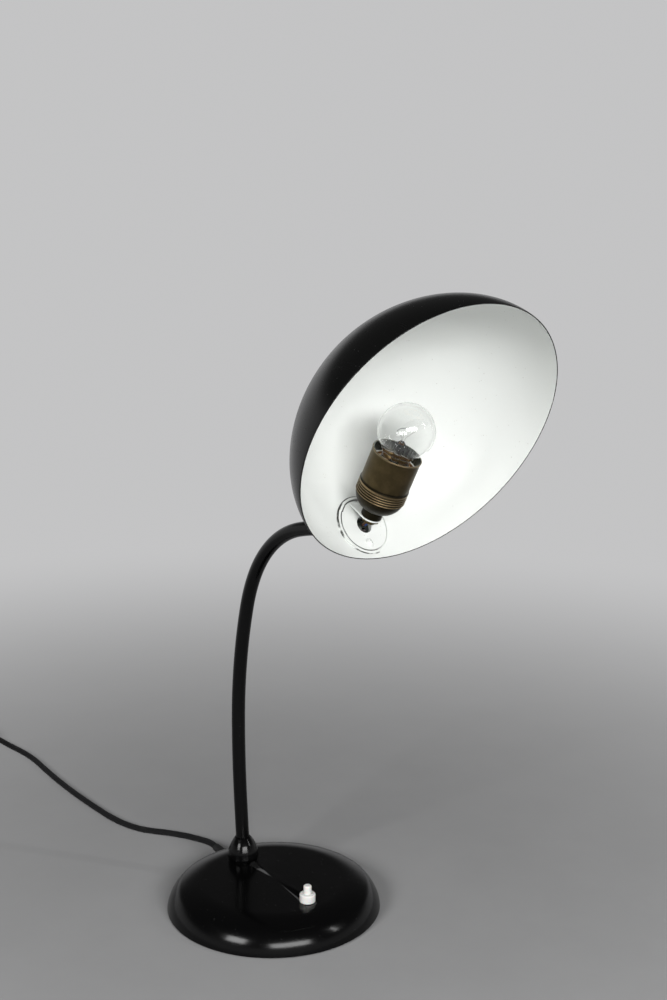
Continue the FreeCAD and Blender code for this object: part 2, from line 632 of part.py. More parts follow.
# Ball stud: turned in one with its neck and shank, which turns in a brass sleeve in the tube's end
ball_radius = BALL_DIA / 2
neck_radius = NECK_DIA / 2
shank_radius = SHANK_DIA / 2
shank_end = STUD_REACH + SHANK_LONG
throat = math.sqrt(ball_radius ** 2 - neck_radius ** 2)
sleeve_face = STUD_REACH - SLEEVE_LIP
stud = turned((0.0, -ball_radius), ("arc", (ball_radius, 0.0), (neck_radius, throat)),
              (neck_radius, sleeve_face - RUN_GAP), (shank_radius, sleeve_face - RUN_GAP),
              (shank_radius, shank_end),
              (0.0, shank_end))
mouth = BALL_BORE_DIA / 2
stud = stud.cut(rod(mouth, -ball_radius - OVERRUN, shank_end + OVERRUN))
groove_low = shank_end - SNAP_RING_PLACE - SNAP_RING_THICK
groove_radius = shank_radius - (SNAP_RING_DIA - SHANK_DIA) / 2
stud = stud.cut(ring(ball_radius, groove_radius, groove_low, groove_low + SNAP_RING_THICK))
keep("ball_stud", stood(stud, BALL_CENTRE, neck_axis))
keep("snap_ring", stood(ring(SNAP_RING_DIA / 2, groove_radius + THREAD_GAP, groove_low + RUN_GAP,
                             groove_low + SNAP_RING_THICK - RUN_GAP), BALL_CENTRE, neck_axis))
sleeve_end = groove_low - RUN_GAP
sleeve = joined([ring(SLEEVE_LIP_DIA / 2, shank_radius + RUN_GAP, sleeve_face, STUD_REACH),
                 ring(bore_radius - RUN_GAP, shank_radius + RUN_GAP, STUD_REACH, sleeve_end)])
sleeve = stood(sleeve, TUBE_END - tube_end_axis * STUD_REACH, tube_end_axis)
keep("arm_sleeve", sleeve)


# Head: drawn with the shade facing straight down and the ball at the origin, then tilted on the ball
shade_radius = SHADE_DIA / 2


def shade_reach(depth, inset=0.0):
    """Radius of the shade's surface at a depth from the rim's plane, inset towards its inside."""
    share = max(0.0, 1 - (depth / (SHADE_DEPTH - inset)) ** SHADE_POWER)
    return (shade_radius - inset) * share ** (1 / SHADE_POWER)


joint_share = JOINT_DEPTH / (SHADE_DEPTH - SHADE_WALL)
joint_radius = shade_reach(JOINT_DEPTH, SHADE_WALL)
reach_share = joint_radius / (shade_radius - SHADE_WALL)
slope_up = joint_share ** (SHADE_POWER - 1) / (SHADE_DEPTH - SHADE_WALL)
slope_out = reach_share ** (SHADE_POWER - 1) / (shade_radius - SHADE_WALL)
out_y, out_z = unit(slope_out, slope_up)
joint_out = V(0, out_y, out_z)          # out of the wall at the joint
joint_up = V(0, -out_z, out_y)          # up the wall, towards the crown
SHADE_Y = -(joint_radius + out_y * BALL_LIFT)
RIM_Z = -(JOINT_DEPTH + out_z * BALL_LIFT)


def head(shape):
    """Turn and tilt a piece from the upright drawing to its place on the ball."""
    out = around(shape, SHADE_ROLL)
    out.rotate(V(0, 0, 0), V(1, 0, 0), SHADE_TILT - 90)
    out.translate(BALL_CENTRE)
    return out


def on_joint(shape):
    """A piece drawn on Z, set on the joint's axis with the ball's centre at zero."""
    place = FreeCAD.Matrix(-1, 0, 0, 0, 0, joint_up.y, joint_out.y, 0, 0, joint_up.z, joint_out.z, 0, 0, 0,
                           0, 1)
    out = shape.copy()
    out.Placement = FreeCAD.Placement(place).multiply(out.Placement)
    return out


def shade_line(inset, count=9):
    """A smooth curve on the shade's surface from its rim up to its crown."""
    places = []
    for i in range(count):
        turn = math.pi / 2 * i / (count - 1)
        rise = math.sin(turn) ** (2 / SHADE_POWER)
        reach = math.cos(turn) ** (2 / SHADE_POWER) if i < count - 1 else 0.0
        places.append(V((shade_radius - inset) * reach, 0, (SHADE_DEPTH - inset) * rise))
    curve = Part.BSplineCurve()
    curve.interpolate(places, InitialTangent=V(0, 0, 1), FinalTangent=V(-1, 0, 0))
    return curve.toShape()


def shade_body(inset):
    """The solid inside the shade's surface, standing on its rim's plane."""
    line = shade_line(inset)
    crown, rim = V(0, 0, SHADE_DEPTH - inset), V(shade_radius - inset, 0, 0)
    edges = [line, Part.LineSegment(crown, V(0, 0, 0)).toShape(),
             Part.LineSegment(V(0, 0, 0), rim).toShape()]
    body = Part.Face(Part.Wire(edges)).revolve(V(0, 0, 0), V(0, 0, 1), 360)
    body.translate(V(0, SHADE_Y, RIM_Z))
    return body


shade_outside = shade_body(0.0)
shade_inside = shade_body(SHADE_WALL)
shade = shade_outside.cut(shade_inside)
pocket_radius = ball_radius + RUN_GAP
shade = shade.cut(on_joint(rod(pocket_radius + CUP_WALL / 2, -BALL_LIFT - SEAT_THICK - OVERRUN, 0)))


def joint_hole(radius, angle):
    """A cutter for a screw or rivet round the joint."""
    place = V(JOINT_BOLT_RADIUS * math.cos(math.radians(angle)),
              JOINT_BOLT_RADIUS * math.sin(math.radians(angle)), 0)
    return on_joint(stood(rod(radius, -BALL_LIFT - SEAT_DIA / 2, SEAT_DIA / 2), place))


for angle in RIVET_ANGLES:
    shade = shade.cut(joint_hole(RIVET_DIA / 2 + THREAD_GAP, angle))
shade = shade.cut(joint_hole(CLAMP_SCREW_DIA / 2 + HOLE_GAP, CLAMP_ANGLE))
keep("shade", head(shade))

# Ball cup outside the wall, and the seat ring inside it, riveted together through the shade
lip = math.radians(CUP_LIP)
cup_outer = pocket_radius + CUP_WALL
skirt = -BALL_LIFT - SEAT_THICK
cup = turned((0.0, skirt), (cup_outer, skirt), (cup_outer, 0.0),
             ("arc", (cup_outer * math.cos(math.pi / 4 - lip / 2),
                      cup_outer * math.sin(math.pi / 4 - lip / 2)),
              (cup_outer * math.sin(lip), cup_outer * math.cos(lip))), (0.0, 0.0))
flange_high = -BALL_LIFT + SHADE_WALL + CUP_FLANGE_THICK
cup = cup.fuse(rod(CUP_FLANGE_DIA / 2, skirt, flange_high))
clamp_place = V(0, -JOINT_BOLT_RADIUS, 0)
boss_top = flange_high + CLAMP_BOSS_TALL
cup = cup.fuse(stood(rod(CLAMP_BOSS_DIA / 2, skirt, boss_top), clamp_place))
cup = cup.cut(Part.makeSphere(pocket_radius)).cut(rod(pocket_radius * math.sin(lip), 0, cup_outer))
cup = cup.cut(rod(pocket_radius, skirt - OVERRUN, 0))
cup = on_joint(cup.removeSplitter()).cut(shade_body(-FACE_GAP))
rivet_top = flange_high + RIVET_HEAD_THICK
rivets = []
for angle in RIVET_ANGLES:
    cup = cup.cut(joint_hole(RIVET_DIA / 2 + THREAD_GAP, angle))
cup = cup.cut(joint_hole(CLAMP_SCREW_DIA / 2 + THREAD_GAP, CLAMP_ANGLE))
keep("ball_cup", head(max(cup.Solids, key=lambda piece: piece.Volume)))
seat_face = -BALL_LIFT - SEAT_THICK
bracket_face = seat_face - BRACKET_THICK
seat = rod(SEAT_DIA / 2, bracket_face,
           0).cut(rod(SEAT_DIA / 2 - SEAT_RIM, bracket_face - OVERRUN, seat_face))
seat = on_joint(seat).common(shade_body(SHADE_WALL + FACE_GAP))
seat = seat.cut(on_joint(rod(SEAT_BORE_DIA / 2, seat_face - OVERRUN,
                             0))).cut(Part.makeSphere(pocket_radius))
bracket_radius = SEAT_DIA / 2 - SEAT_SHOWS
lugs = []
for angle in SEAT_LUG_ANGLES:
    length = SEAT_DIA / 2 - bracket_radius
    web = Part.makeBox(length - RUN_GAP, SEAT_LUG_WIDE, BRACKET_THICK + SEAT_LUG_THICK + RUN_GAP,
                       V(bracket_radius + RUN_GAP, -SEAT_LUG_WIDE / 2,
                         bracket_face - SEAT_LUG_THICK - RUN_GAP))
    hook = Part.makeBox(length + SEAT_LUG_OVER, SEAT_LUG_WIDE, SEAT_LUG_THICK,
                        V(bracket_radius - SEAT_LUG_OVER, -SEAT_LUG_WIDE / 2,
                          bracket_face - SEAT_LUG_THICK - RUN_GAP))
    lug = web.fuse(hook).common(rod(SEAT_DIA / 2, bracket_face - OVERRUN, 0))
    lugs.append(on_joint(around(lug, angle)))
seat = seat.fuse(lugs).removeSplitter()
for angle in RIVET_ANGLES:
    seat = seat.cut(joint_hole(RIVET_DIA / 2 + THREAD_GAP, angle))
    place = V(JOINT_BOLT_RADIUS * math.cos(math.radians(angle)),
              JOINT_BOLT_RADIUS * math.sin(math.radians(angle)), 0)
    sink = turned((0.0, seat_face), (RIVET_HEAD_DIA / 2, seat_face),
                  (RIVET_DIA / 2, seat_face + RIVET_HEAD_THICK),
                  (RIVET_DIA / 2, flange_high), (RIVET_HEAD_DIA / 2, flange_high),
                  (RIVET_DIA / 2, rivet_top), (0.0, rivet_top))
    seat = seat.cut(on_joint(stood(turned((0.0, seat_face - OVERRUN),
                                          (RIVET_HEAD_DIA / 2 + THREAD_GAP, seat_face - OVERRUN),
                                          (RIVET_HEAD_DIA / 2 + THREAD_GAP, seat_face),
                                          (RIVET_DIA / 2 + THREAD_GAP, seat_face + RIVET_HEAD_THICK),
                                          (0.0, seat_face + RIVET_HEAD_THICK)), place)))
    rivets.append(head(on_joint(stood(sink, place))))
seat = seat.cut(joint_hole(CLAMP_SCREW_DIA / 2 + HOLE_GAP, CLAMP_ANGLE))
keep("seat_ring", head(seat))
keep("cup_rivets", rivets)

# Socket bracket: a clamp disc over the seat ring, with a tongue folded back to carry the socket
slant = math.radians(SOCKET_SLANT)
socket_out = V(0, -math.cos(slant), math.sin(slant))
tongue_down = V(0, -math.sin(slant), -math.cos(slant))
socket_seat = V(0, -SOCKET_IN, RIM_Z + SOCKET_DEPTH)
sheet_mid = joint_out * (seat_face - BRACKET_THICK / 2)
tongue_mid = socket_seat - socket_out * (BRACKET_THICK / 2)
fold_turn = joint_up.getAngle(tongue_down)
# where the disc's and the tongue's middle planes meet, measured up the disc
meet = (tongue_mid - sheet_mid).dot(socket_out) / joint_up.dot(socket_out)
fold_back = BRACKET_BEND * math.tan(fold_turn / 2)
corner = sheet_mid + joint_up * meet
fold_from, fold_to = corner - joint_up * fold_back, corner + tongue_down * fold_back
tongue_long = (socket_seat - corner).dot(tongue_down) + TONGUE_PAST
tongue_tip = corner + tongue_down * tongue_long
half = BRACKET_THICK / 2
bend_centre = fold_from - joint_out * BRACKET_BEND
bend_far = (corner - bend_centre).normalize()
side_points = [sheet_mid + joint_out * half, fold_from + joint_out * half,
               bend_centre + bend_far * (BRACKET_BEND + half), fold_to + socket_out * half,
               tongue_tip + socket_out * half, tongue_tip - socket_out * half,
               fold_to - socket_out * half, bend_centre + bend_far * (BRACKET_BEND - half),
               fold_from - joint_out * half, sheet_mid - joint_out * half]
strip_edges = [Part.LineSegment(side_points[0], side_points[1]).toShape(),
               Part.Arc(side_points[1], side_points[2], side_points[3]).toShape(),
               Part.LineSegment(side_points[3], side_points[4]).toShape(),
               Part.LineSegment(side_points[4], side_points[5]).toShape(),
               Part.LineSegment(side_points[5], side_points[6]).toShape(),
               Part.Arc(side_points[6], side_points[7], side_points[8]).toShape(),
               Part.LineSegment(side_points[8], side_points[9]).toShape(),
               Part.LineSegment(side_points[9], side_points[0]).toShape()]
strip = Part.Face(Part.Wire(strip_edges))
strip.translate(V(-TONGUE_WIDE / 2, 0, 0))
strip = strip.extrude(V(TONGUE_WIDE, 0, 0))
tip_round = stood(rod(TONGUE_WIDE / 2, -TONGUE_WIDE, TONGUE_WIDE),
                  tongue_tip - tongue_down * (TONGUE_WIDE / 2), socket_out)
square = Part.makeBox(TONGUE_WIDE, TONGUE_WIDE, TONGUE_WIDE * 2, V(-TONGUE_WIDE / 2, 0, -TONGUE_WIDE))
corner_cut = FreeCAD.Matrix(-1, 0, 0, 0, 0, tongue_down.y, socket_out.y, 0, 0, tongue_down.z, socket_out.z,
                            0, 0, 0, 0, 1)
square.Placement = FreeCAD.Placement(tongue_tip - tongue_down * (TONGUE_WIDE / 2),
                                     FreeCAD.Placement(corner_cut).Rotation)
strip = strip.cut(square.cut(tip_round))
disc = rod(bracket_radius, bracket_face, seat_face)
relief = Part.makeBox(TONGUE_WIDE, SEAT_DIA, 2 * SEAT_DIA, V(-TONGUE_WIDE / 2, meet - fold_back, -SEAT_DIA))
disc = on_joint(disc.cut(relief))
bracket = disc.fuse(strip).removeSplitter()
bracket = bracket.cut(on_joint(rod(SEAT_BORE_DIA / 2, bracket_face - SEAT_BORE_DIA / 2,
                                   seat_face + OVERRUN)))
bracket = bracket.cut(joint_hole(CLAMP_SCREW_DIA / 2 + HOLE_GAP, CLAMP_ANGLE))
bracket = bracket.cut(stood(rod(NIPPLE_DIA / 2 + HOLE_GAP, -OVERRUN, OVERRUN), socket_seat, socket_out))
keep("socket_bracket", head(max(bracket.Solids, key=lambda piece: piece.Volume)))
head_low = bracket_face - CLAMP_HEAD_TALL
head_edge = (CLAMP_HEAD_DIA / 2, bracket_face)
clamp_screw = turned((0.0, head_low), ("arc", arc_mid((0.0, head_low), (1, 0), head_edge), head_edge),
                     (CLAMP_SCREW_DIA / 2, bracket_face), (CLAMP_SCREW_DIA / 2, boss_top), (0.0, boss_top))
driver = Part.makeBox(CLAMP_HEAD_DIA, CLAMP_SLOT, CLAMP_HEAD_TALL,
                      V(-CLAMP_HEAD_DIA / 2, -CLAMP_SLOT / 2, head_low - CLAMP_HEAD_TALL / 2))
clamp_screw = clamp_screw.cut(around(driver, CLAMP_SLOT_ANGLE))
keep("clamp_screw", head(on_joint(stood(clamp_screw, clamp_place))))


# Socket: turned brass, stood on the tongue
def on_socket(shape):
    return head(stood(shape, socket_seat, socket_out))


cap_start = SOCKET_COLLAR_TALL
band_start = cap_start + CAP_TALL
shell_start = band_start + BAND_TALL
mouth_end = shell_start + SHELL_TALL
nipple_radius = NIPPLE_DIA / 2
keep("socket_nipple", on_socket(ring(nipple_radius, NIPPLE_BORE / 2, -BRACKET_THICK - NIPPLE_OUT,
                                     cap_start + NIPPLE_IN)))
keep("nipple_nut", on_socket(hexagon(NIPPLE_NUT_FLATS, -BRACKET_THICK - NIPPLE_NUT_THICK,
                                     -BRACKET_THICK).cut(
    rod(nipple_radius + THREAD_GAP, -OVERRUN * 2, OVERRUN))))
keep("socket_collar", on_socket(ring(SOCKET_COLLAR_DIA / 2, nipple_radius + THREAD_GAP, 0, cap_start)))
cap_foot = (CAP_TOP_DIA / 2, cap_start)
cap_rim = (SHELL_DIA / 2, band_start)
cap_heading = (math.cos(math.radians(CAP_SLOPE)), math.sin(math.radians(CAP_SLOPE)))
cap_mid = arc_mid(cap_foot, cap_heading, cap_rim)
inner_foot = (CAP_TOP_DIA / 2 - CAP_WALL / 2, cap_start + CAP_WALL)
inner_rim = (SHELL_DIA / 2 - CAP_WALL, band_start)
inner_mid = arc_mid(inner_foot, cap_heading, inner_rim)
keep("socket_cap", on_socket(turned((nipple_radius + THREAD_GAP, cap_start), cap_foot,
                                    ("arc", cap_mid, cap_rim), inner_rim,
                                    ("arc", inner_mid, inner_foot),
                                    (nipple_radius + THREAD_GAP, cap_start + CAP_WALL))))
band_radius = BAND_DIA / 2
shell_radius = SHELL_DIA / 2
shell_bore = shell_radius - SHELL_WALL
band_points = [(shell_bore, band_start), (band_radius - BAND_GROOVE, band_start),
               (band_radius, band_start + BAND_GROOVE)]
ridge = (BAND_TALL - BAND_PLAIN) / BAND_RIDGES
for i in range(BAND_RIDGES):
    crest = band_start + ridge * i + BAND_GROOVE
    band_points += [(band_radius, crest + ridge - 2 * BAND_GROOVE),
                    (band_radius - BAND_GROOVE, crest + ridge - BAND_GROOVE),
                    (band_radius, crest + ridge)]
band_points += [(band_radius, shell_start - BAND_GROOVE), (shell_radius, shell_start)]
lip_from = (shell_radius, mouth_end - 2 * SHELL_FLARE)
lip_top = (shell_radius + SHELL_FLARE / 2, mouth_end)
band_points += [lip_from, (shell_radius + SHELL_FLARE, mouth_end - SHELL_FLARE), lip_top,
                (shell_bore, mouth_end)]
keep("socket_shell", on_socket(turned(*band_points)))
insert_end = INSERT_START + INSERT_TALL
insert = turned((nipple_radius + HOLE_GAP, INSERT_START), (INSERT_DIA / 2, INSERT_START),
                (INSERT_DIA / 2, insert_end),
                (nipple_radius + HOLE_GAP, insert_end))
keep("socket_insert", on_socket(insert))
sleeve_radius = SLEEVE_DIA / 2
ring_top = mouth_end - MOUTH_RING_SET
ring_low = ring_top - MOUTH_RING_THICK
sleeve_points = [(sleeve_radius - SLEEVE_WALL, insert_end), (sleeve_radius, insert_end)]
groove_pitch = (ring_low - insert_end) / SLEEVE_GROOVES
for i in range(SLEEVE_GROOVES):
    low = insert_end + groove_pitch * i
    sleeve_points += [(sleeve_radius, low + groove_pitch / 4),
                      (sleeve_radius - SLEEVE_WALL / 2, low + groove_pitch / 2),
                      (sleeve_radius, low + groove_pitch * 3 / 4)]
sleeve_points += [(sleeve_radius, ring_top), (sleeve_radius - SLEEVE_WALL, ring_top)]
keep("socket_sleeve", on_socket(turned(*sleeve_points)))
keep("socket_ring", on_socket(ring(shell_bore - THREAD_GAP, sleeve_radius + THREAD_GAP, ring_low,
                                   ring_top)))
bulb_bottom = mouth_end + GLOBE_PAST + GLOBE_DIA / 2 - BULB_LONG
bore = nipple_radius + HOLE_GAP
contact_reach = math.sqrt(bore ** 2 - (CENTRE_CONTACT_WIDE / 2) ** 2) - 2 * RUN_GAP
contact_low = INSERT_START - CONTACT_THICK
contact_high = bulb_bottom - SEAT_GAP
contact_x = -CENTRE_CONTACT_WIDE / 2
contact_foot = Part.makeBox(CENTRE_CONTACT_WIDE, 2 * contact_reach, CONTACT_THICK,
                            V(contact_x, -contact_reach, contact_high - CONTACT_THICK))
contact_post = Part.makeBox(CENTRE_CONTACT_WIDE, CONTACT_THICK, contact_high - contact_low,
                            V(contact_x, -contact_reach, contact_low))
contact_rest = Part.makeBox(CENTRE_CONTACT_WIDE, INSERT_DIA / 4, CONTACT_THICK,
                            V(contact_x, -contact_reach - INSERT_DIA / 4, contact_low))
keep("socket_contact", on_socket(joined([contact_foot, contact_post, contact_rest])))
terminals = []
screw_x = INSERT_DIA / 2 * TERMINAL_SHARE
for side in (-1, 1):
    screw = joined([rod(TERMINAL_HEAD_DIA / 2, INSERT_START - 2 * CONTACT_THICK, INSERT_START),
                    rod(TERMINAL_DIA / 2, INSERT_START, INSERT_START + INSERT_TALL / 2)])
    place = V(side * screw_x, 0, 0)
    insert = insert.cut(stood(rod(TERMINAL_DIA / 2 + THREAD_GAP, 0, INSERT_START + INSERT_TALL / 2), place))
    terminals.append(on_socket(stood(screw, place)))
keep("socket_insert", on_socket(insert))
keep("socket_screws", terminals)

# Bulb: a clear round globe on a threaded cap
globe = mouth_end + GLOBE_PAST
globe_radius = GLOBE_DIA / 2
tip_end = bulb_bottom + BULB_TIP_LONG
cap_low = tip_end + BULB_INSULATOR_LONG
cap_high = cap_low + BULB_CAP_LONG
cap_radius = BULB_CAP_DIA / 2
neck_outer = BULB_NECK_DIA / 2


def glass_outline(inset):
    """Half outline of the glass: neck, throat and globe."""
    size = globe_radius - inset
    low = math.radians(-GLOBE_JOIN)
    join = (size * math.cos(low), globe + size * math.sin(low))
    start = (neck_outer - inset, cap_high)
    heading = (-math.sin(low), math.cos(low))
    back = arc_mid(join, (-heading[0], -heading[1]), start)
    slanted = size * math.cos(math.pi / 4)
    near_top = (size * math.sin(math.pi / 8), globe + size * math.cos(math.pi / 8))
    return (start, ("arc", back, join), ("arc", (size, globe), (slanted, globe + slanted)),
            ("arc", near_top, (0.0, globe + size)))


def glass_solid(inset, bottom):
    return turned((0.0, bottom), (neck_outer - inset, bottom), *glass_outline(inset))


glass_foot = cap_high - BULB_CAP_LONG / 3
glass = glass_solid(0.0, glass_foot).cut(glass_solid(GLASS_WALL, glass_foot - OVERRUN))
keep("bulb_glass", on_socket(glass))
cap_points = [(cap_radius - BULB_THREAD_DEEP - BULB_CAP_WALL, cap_high),
              (cap_radius - BULB_THREAD_DEEP, cap_high)]
thread = BULB_CAP_LONG / (BULB_THREADS + 1)
for i in range(BULB_THREADS):
    high = cap_high - thread * (i + 0.5)
    cap_points += [(cap_radius - BULB_THREAD_DEEP, high), (cap_radius, high - thread / 2),
                   (cap_radius - BULB_THREAD_DEEP, high - thread)]
cap_points += [(cap_radius - BULB_THREAD_DEEP, cap_low),
               (cap_radius - BULB_THREAD_DEEP - BULB_CAP_WALL, cap_low)]
keep("bulb_cap", on_socket(turned(*cap_points)))
insulator_top = cap_radius - BULB_THREAD_DEEP - BULB_CAP_WALL - THREAD_GAP
keep("bulb_insulator", on_socket(turned((0.0, tip_end), (BULB_TIP_DIA / 2, tip_end),
                                        (insulator_top, cap_low),
                                        (insulator_top, cap_low + BULB_TIP_LONG),
                                        (0.0, cap_low + BULB_TIP_LONG))))
keep("bulb_tip", on_socket(turned((0.0, bulb_bottom), (BULB_TIP_DIA / 4, bulb_bottom),
                                  (BULB_TIP_DIA / 2, tip_end), (0.0, tip_end))))
stem_foot = glass_foot
stem_tip = globe - globe_radius + STEM_SHARE * GLOBE_DIA
flare = neck_outer - GLASS_WALL - THREAD_GAP
stem = turned((0.0, stem_foot + GLASS_WALL * 2), (flare, stem_foot), (flare, stem_foot + GLASS_WALL * 2),
              ("arc", arc_mid((STEM_DIA / 2, stem_foot + STEM_FOOT_DIA / 2), (0, -1),
                              (flare, stem_foot + GLASS_WALL * 2)),
               (STEM_DIA / 2, stem_foot + STEM_FOOT_DIA / 2)),
              (STEM_DIA / 2, stem_tip - STEM_DIA / 4), (STEM_DIA / 4, stem_tip), (0.0, stem_tip))
keep("bulb_stem", on_socket(stem))
filament_height = stem_tip + FILAMENT_RISE
wires = []
for side in (-1, 1):
    route = rounded_route([(side * STEM_DIA / 4, 0, stem_tip + RUN_GAP),
                           (side * STEM_DIA / 4, 0, stem_tip + FILAMENT_RISE / 3),
                           (side * FILAMENT_SPAN / 2, 0, filament_height - SUPPORT_WIRE)])
    wires.append(on_socket(tube(route, SUPPORT_WIRE / 2)))
middle_wire = rounded_route([(0, 0, stem_tip), (0, STEM_DIA / 4, stem_tip + FILAMENT_RISE / 2),
                             (0, STEM_DIA / 2, filament_height - FILAMENT_WIRE)])
wires.append(on_socket(tube(middle_wire, SUPPORT_WIRE / 2)))
keep("bulb_wires", wires)
filament = rounded_route([(-FILAMENT_SPAN / 2, 0, filament_height),
                          (-FILAMENT_SPAN / 4, STEM_DIA / 3, filament_height + SUPPORT_WIRE),
                          (0, STEM_DIA / 2, filament_height),
                          (FILAMENT_SPAN / 4, STEM_DIA / 3, filament_height + SUPPORT_WIRE),
                          (FILAMENT_SPAN / 2, 0, filament_height)])
keep("bulb_filament", on_socket(tube(filament, FILAMENT_WIRE / 2)))

# Leads: two insulated wires from the cord to the switch, up the arm and out of the ball to the socket
lead_radius = LEAD_DIA / 2
arm_leads = []
for side in (-1, 1):
    line = trimmed_arm(HOLE_GAP, STUD_REACH + SHANK_LONG + SNAP_RING_DIA)
    line.translate(V(side * LEAD_SPACING / 2, 0, 0))
    arm_leads.append(tube(line, lead_radius))
keep("arm_leads", arm_leads)
ball_leads = []
for side in (-1, 1):
    ball_lead = rod(lead_radius, -ball_radius + HOLE_GAP, shank_end - HOLE_GAP)
    ball_leads.append(stood(stood(ball_lead, V(side * LEAD_SPACING / 2, 0, 0)), BALL_CENTRE, neck_axis))
keep("ball_leads", ball_leads)



def socket_point(across, down, along):
    """A point in the head's drawing, measured from where the socket's axis meets the tongue's face."""
    return socket_seat + V(across, 0, 0) + tongue_down * down + socket_out * along


lead_level = INSERT_START - lead_radius - RUN_GAP
for name, side in (("head_lead_blue", 1), ("head_lead_brown", -1)):
    x = side * LEAD_SPACING / 2
    below_ball = -ball_radius - 2 * SEAT_GAP
    screw_edge = side * (screw_x - TERMINAL_HEAD_DIA / 2 - RUN_GAP)
    route = [V(x, 0, 0) + joint_out * below_ball, V(x, 0, 0) + joint_out * (below_ball - LEAD_DIA),
             socket_point(x, 0, -BRACKET_THICK), socket_point(x, 0, cap_start + NIPPLE_IN + HOLE_GAP),
             socket_point(side * screw_x / 2, 0, lead_level), socket_point(screw_edge, 0, lead_level)]
    keep(name, head(lead(*route)))

under_foot = PLATE_TOP + LEAD_DIA
over_weight = WEIGHT_TOP + 1.3 * LEAD_DIA
under_switch = terminal_head - CONTACT_THICK
screw_side = terminal_x + TERMINAL_HEAD_DIA / 2 + RUN_GAP
beside = SWITCH_BODY_DIA / 2 + 1.2 * LEAD_DIA
foot_x = LEAD_SPACING / 2
well_reach = FOOT_WELL_DIA / 2 - 2 * LEAD_DIA
blue_lead = lead(on_cord(TAIL_END, LEAD_SPACING / 2), on_cord(TAIL_END - 2 * LEAD_DIA, LEAD_SPACING / 2),
                 V(-foot_x, ARM_Y + 3 * LEAD_DIA, under_foot), V(-foot_x, ARM_Y, under_foot),
                 V(-foot_x, ARM_Y, TUBE_FOOT - HOLE_GAP))
brown_lead = lead(on_cord(TAIL_END, -LEAD_SPACING / 2), on_cord(TAIL_END - LEAD_DIA, -LEAD_SPACING / 2),
                  on_cord(TAIL_END - 3 * LEAD_DIA, -2 * LEAD_DIA),
                  V(-well_reach, ARM_Y + LEAD_DIA, CORD_Z + LEAD_DIA),
                  V(-well_reach, ARM_Y - 2 * LEAD_DIA, WEIGHT_TOP - LEAD_DIA / 2),
                  V(-LEAD_SIDE, ARM_Y - 5 * LEAD_DIA, over_weight),
                  V(-LEAD_SIDE - LEAD_DIA / 2, 0, over_weight),
                  V(-LEAD_SIDE, SWITCH_Y + switch_well - 2.5 * LEAD_DIA, over_weight),
                  V(-beside, SWITCH_Y + 2 * LEAD_DIA, WEIGHT_TOP - 1.2 * LEAD_DIA),
                  V(-beside, SWITCH_Y, under_switch),
                  V(-screw_side, SWITCH_Y, under_switch))
switched_lead = lead(V(screw_side, SWITCH_Y, under_switch), V(beside, SWITCH_Y, under_switch),
                     V(beside, SWITCH_Y + 2 * LEAD_DIA, WEIGHT_TOP - 1.2 * LEAD_DIA),
                     V(LEAD_SIDE, SWITCH_Y + switch_well - 2.5 * LEAD_DIA, over_weight),
                     V(LEAD_SIDE + LEAD_DIA / 2, 0, over_weight),
                     V(LEAD_SIDE, ARM_Y - 5 * LEAD_DIA, over_weight),
                     V(well_reach - LEAD_DIA, ARM_Y - 2 * LEAD_DIA, BASE_TOP / 3),
                     V(foot_x, ARM_Y - LEAD_DIA, under_foot), V(foot_x, ARM_Y, under_foot + LEAD_DIA),
                     V(foot_x, ARM_Y, TUBE_FOOT - HOLE_GAP))
keep("base_leads", [blue_lead, brown_lead, switched_lead])

# Mains cord: clamped on the bottom plate, out through a grommet, along the table and into a tied coil
cord_radius = CORD_DIA / 2
side_reach = BASE_DIA / 2 - COVER_WALL
grommet_end = BASE_DIA / 2 + GROMMET_REACH
grommet_low = side_reach - GROMMET_FLANGE - COVER_WALL
grommet_high = BASE_DIA / 2 + GROMMET_FLANGE
grommet = turned((cord_radius, grommet_low), (GROMMET_DIA / 2, grommet_low),
                 (GROMMET_DIA / 2, grommet_high),
                 (GROMMET_NECK_DIA / 2, grommet_high), (GROMMET_TIP_DIA / 2, grommet_end),
                 (cord_radius, grommet_end))
grommet = stood(grommet, on_cord(0), cord_out)
grommet = grommet.cut(rod(side_reach, 0, PLATE_TOP)).cut(cover)
keep("cord_grommet", max(grommet.Solids, key=lambda piece: piece.Volume))
keep("cord_tail", stood(rod(cord_radius, TAIL_END, grommet_end), on_cord(0), cord_out))
clamp_low, clamp_high = PLATE_TOP, CORD_Z + cord_radius + CLAMP_TALL
turn_round = -CORD_AZIMUTH
cord_channel = stood(rod(cord_radius, 0, BASE_DIA), on_cord(0), cord_out)


def clamp_block(bottom, top):
    block = Part.makeBox(CLAMP_LONG, CLAMP_WIDE, top - bottom,
                         V(-CLAMP_LONG / 2, CLAMP_PLACE - CLAMP_WIDE / 2, bottom))
    for side in (-1, 1):
        block = block.cut(stood(rod(CLAMP_BOLT_DIA / 2 + THREAD_GAP, 0, BASE_TOP),
                                V(side * CLAMP_SPACING / 2, CLAMP_PLACE, 0)))
    return around(block, turn_round).cut(cord_channel)


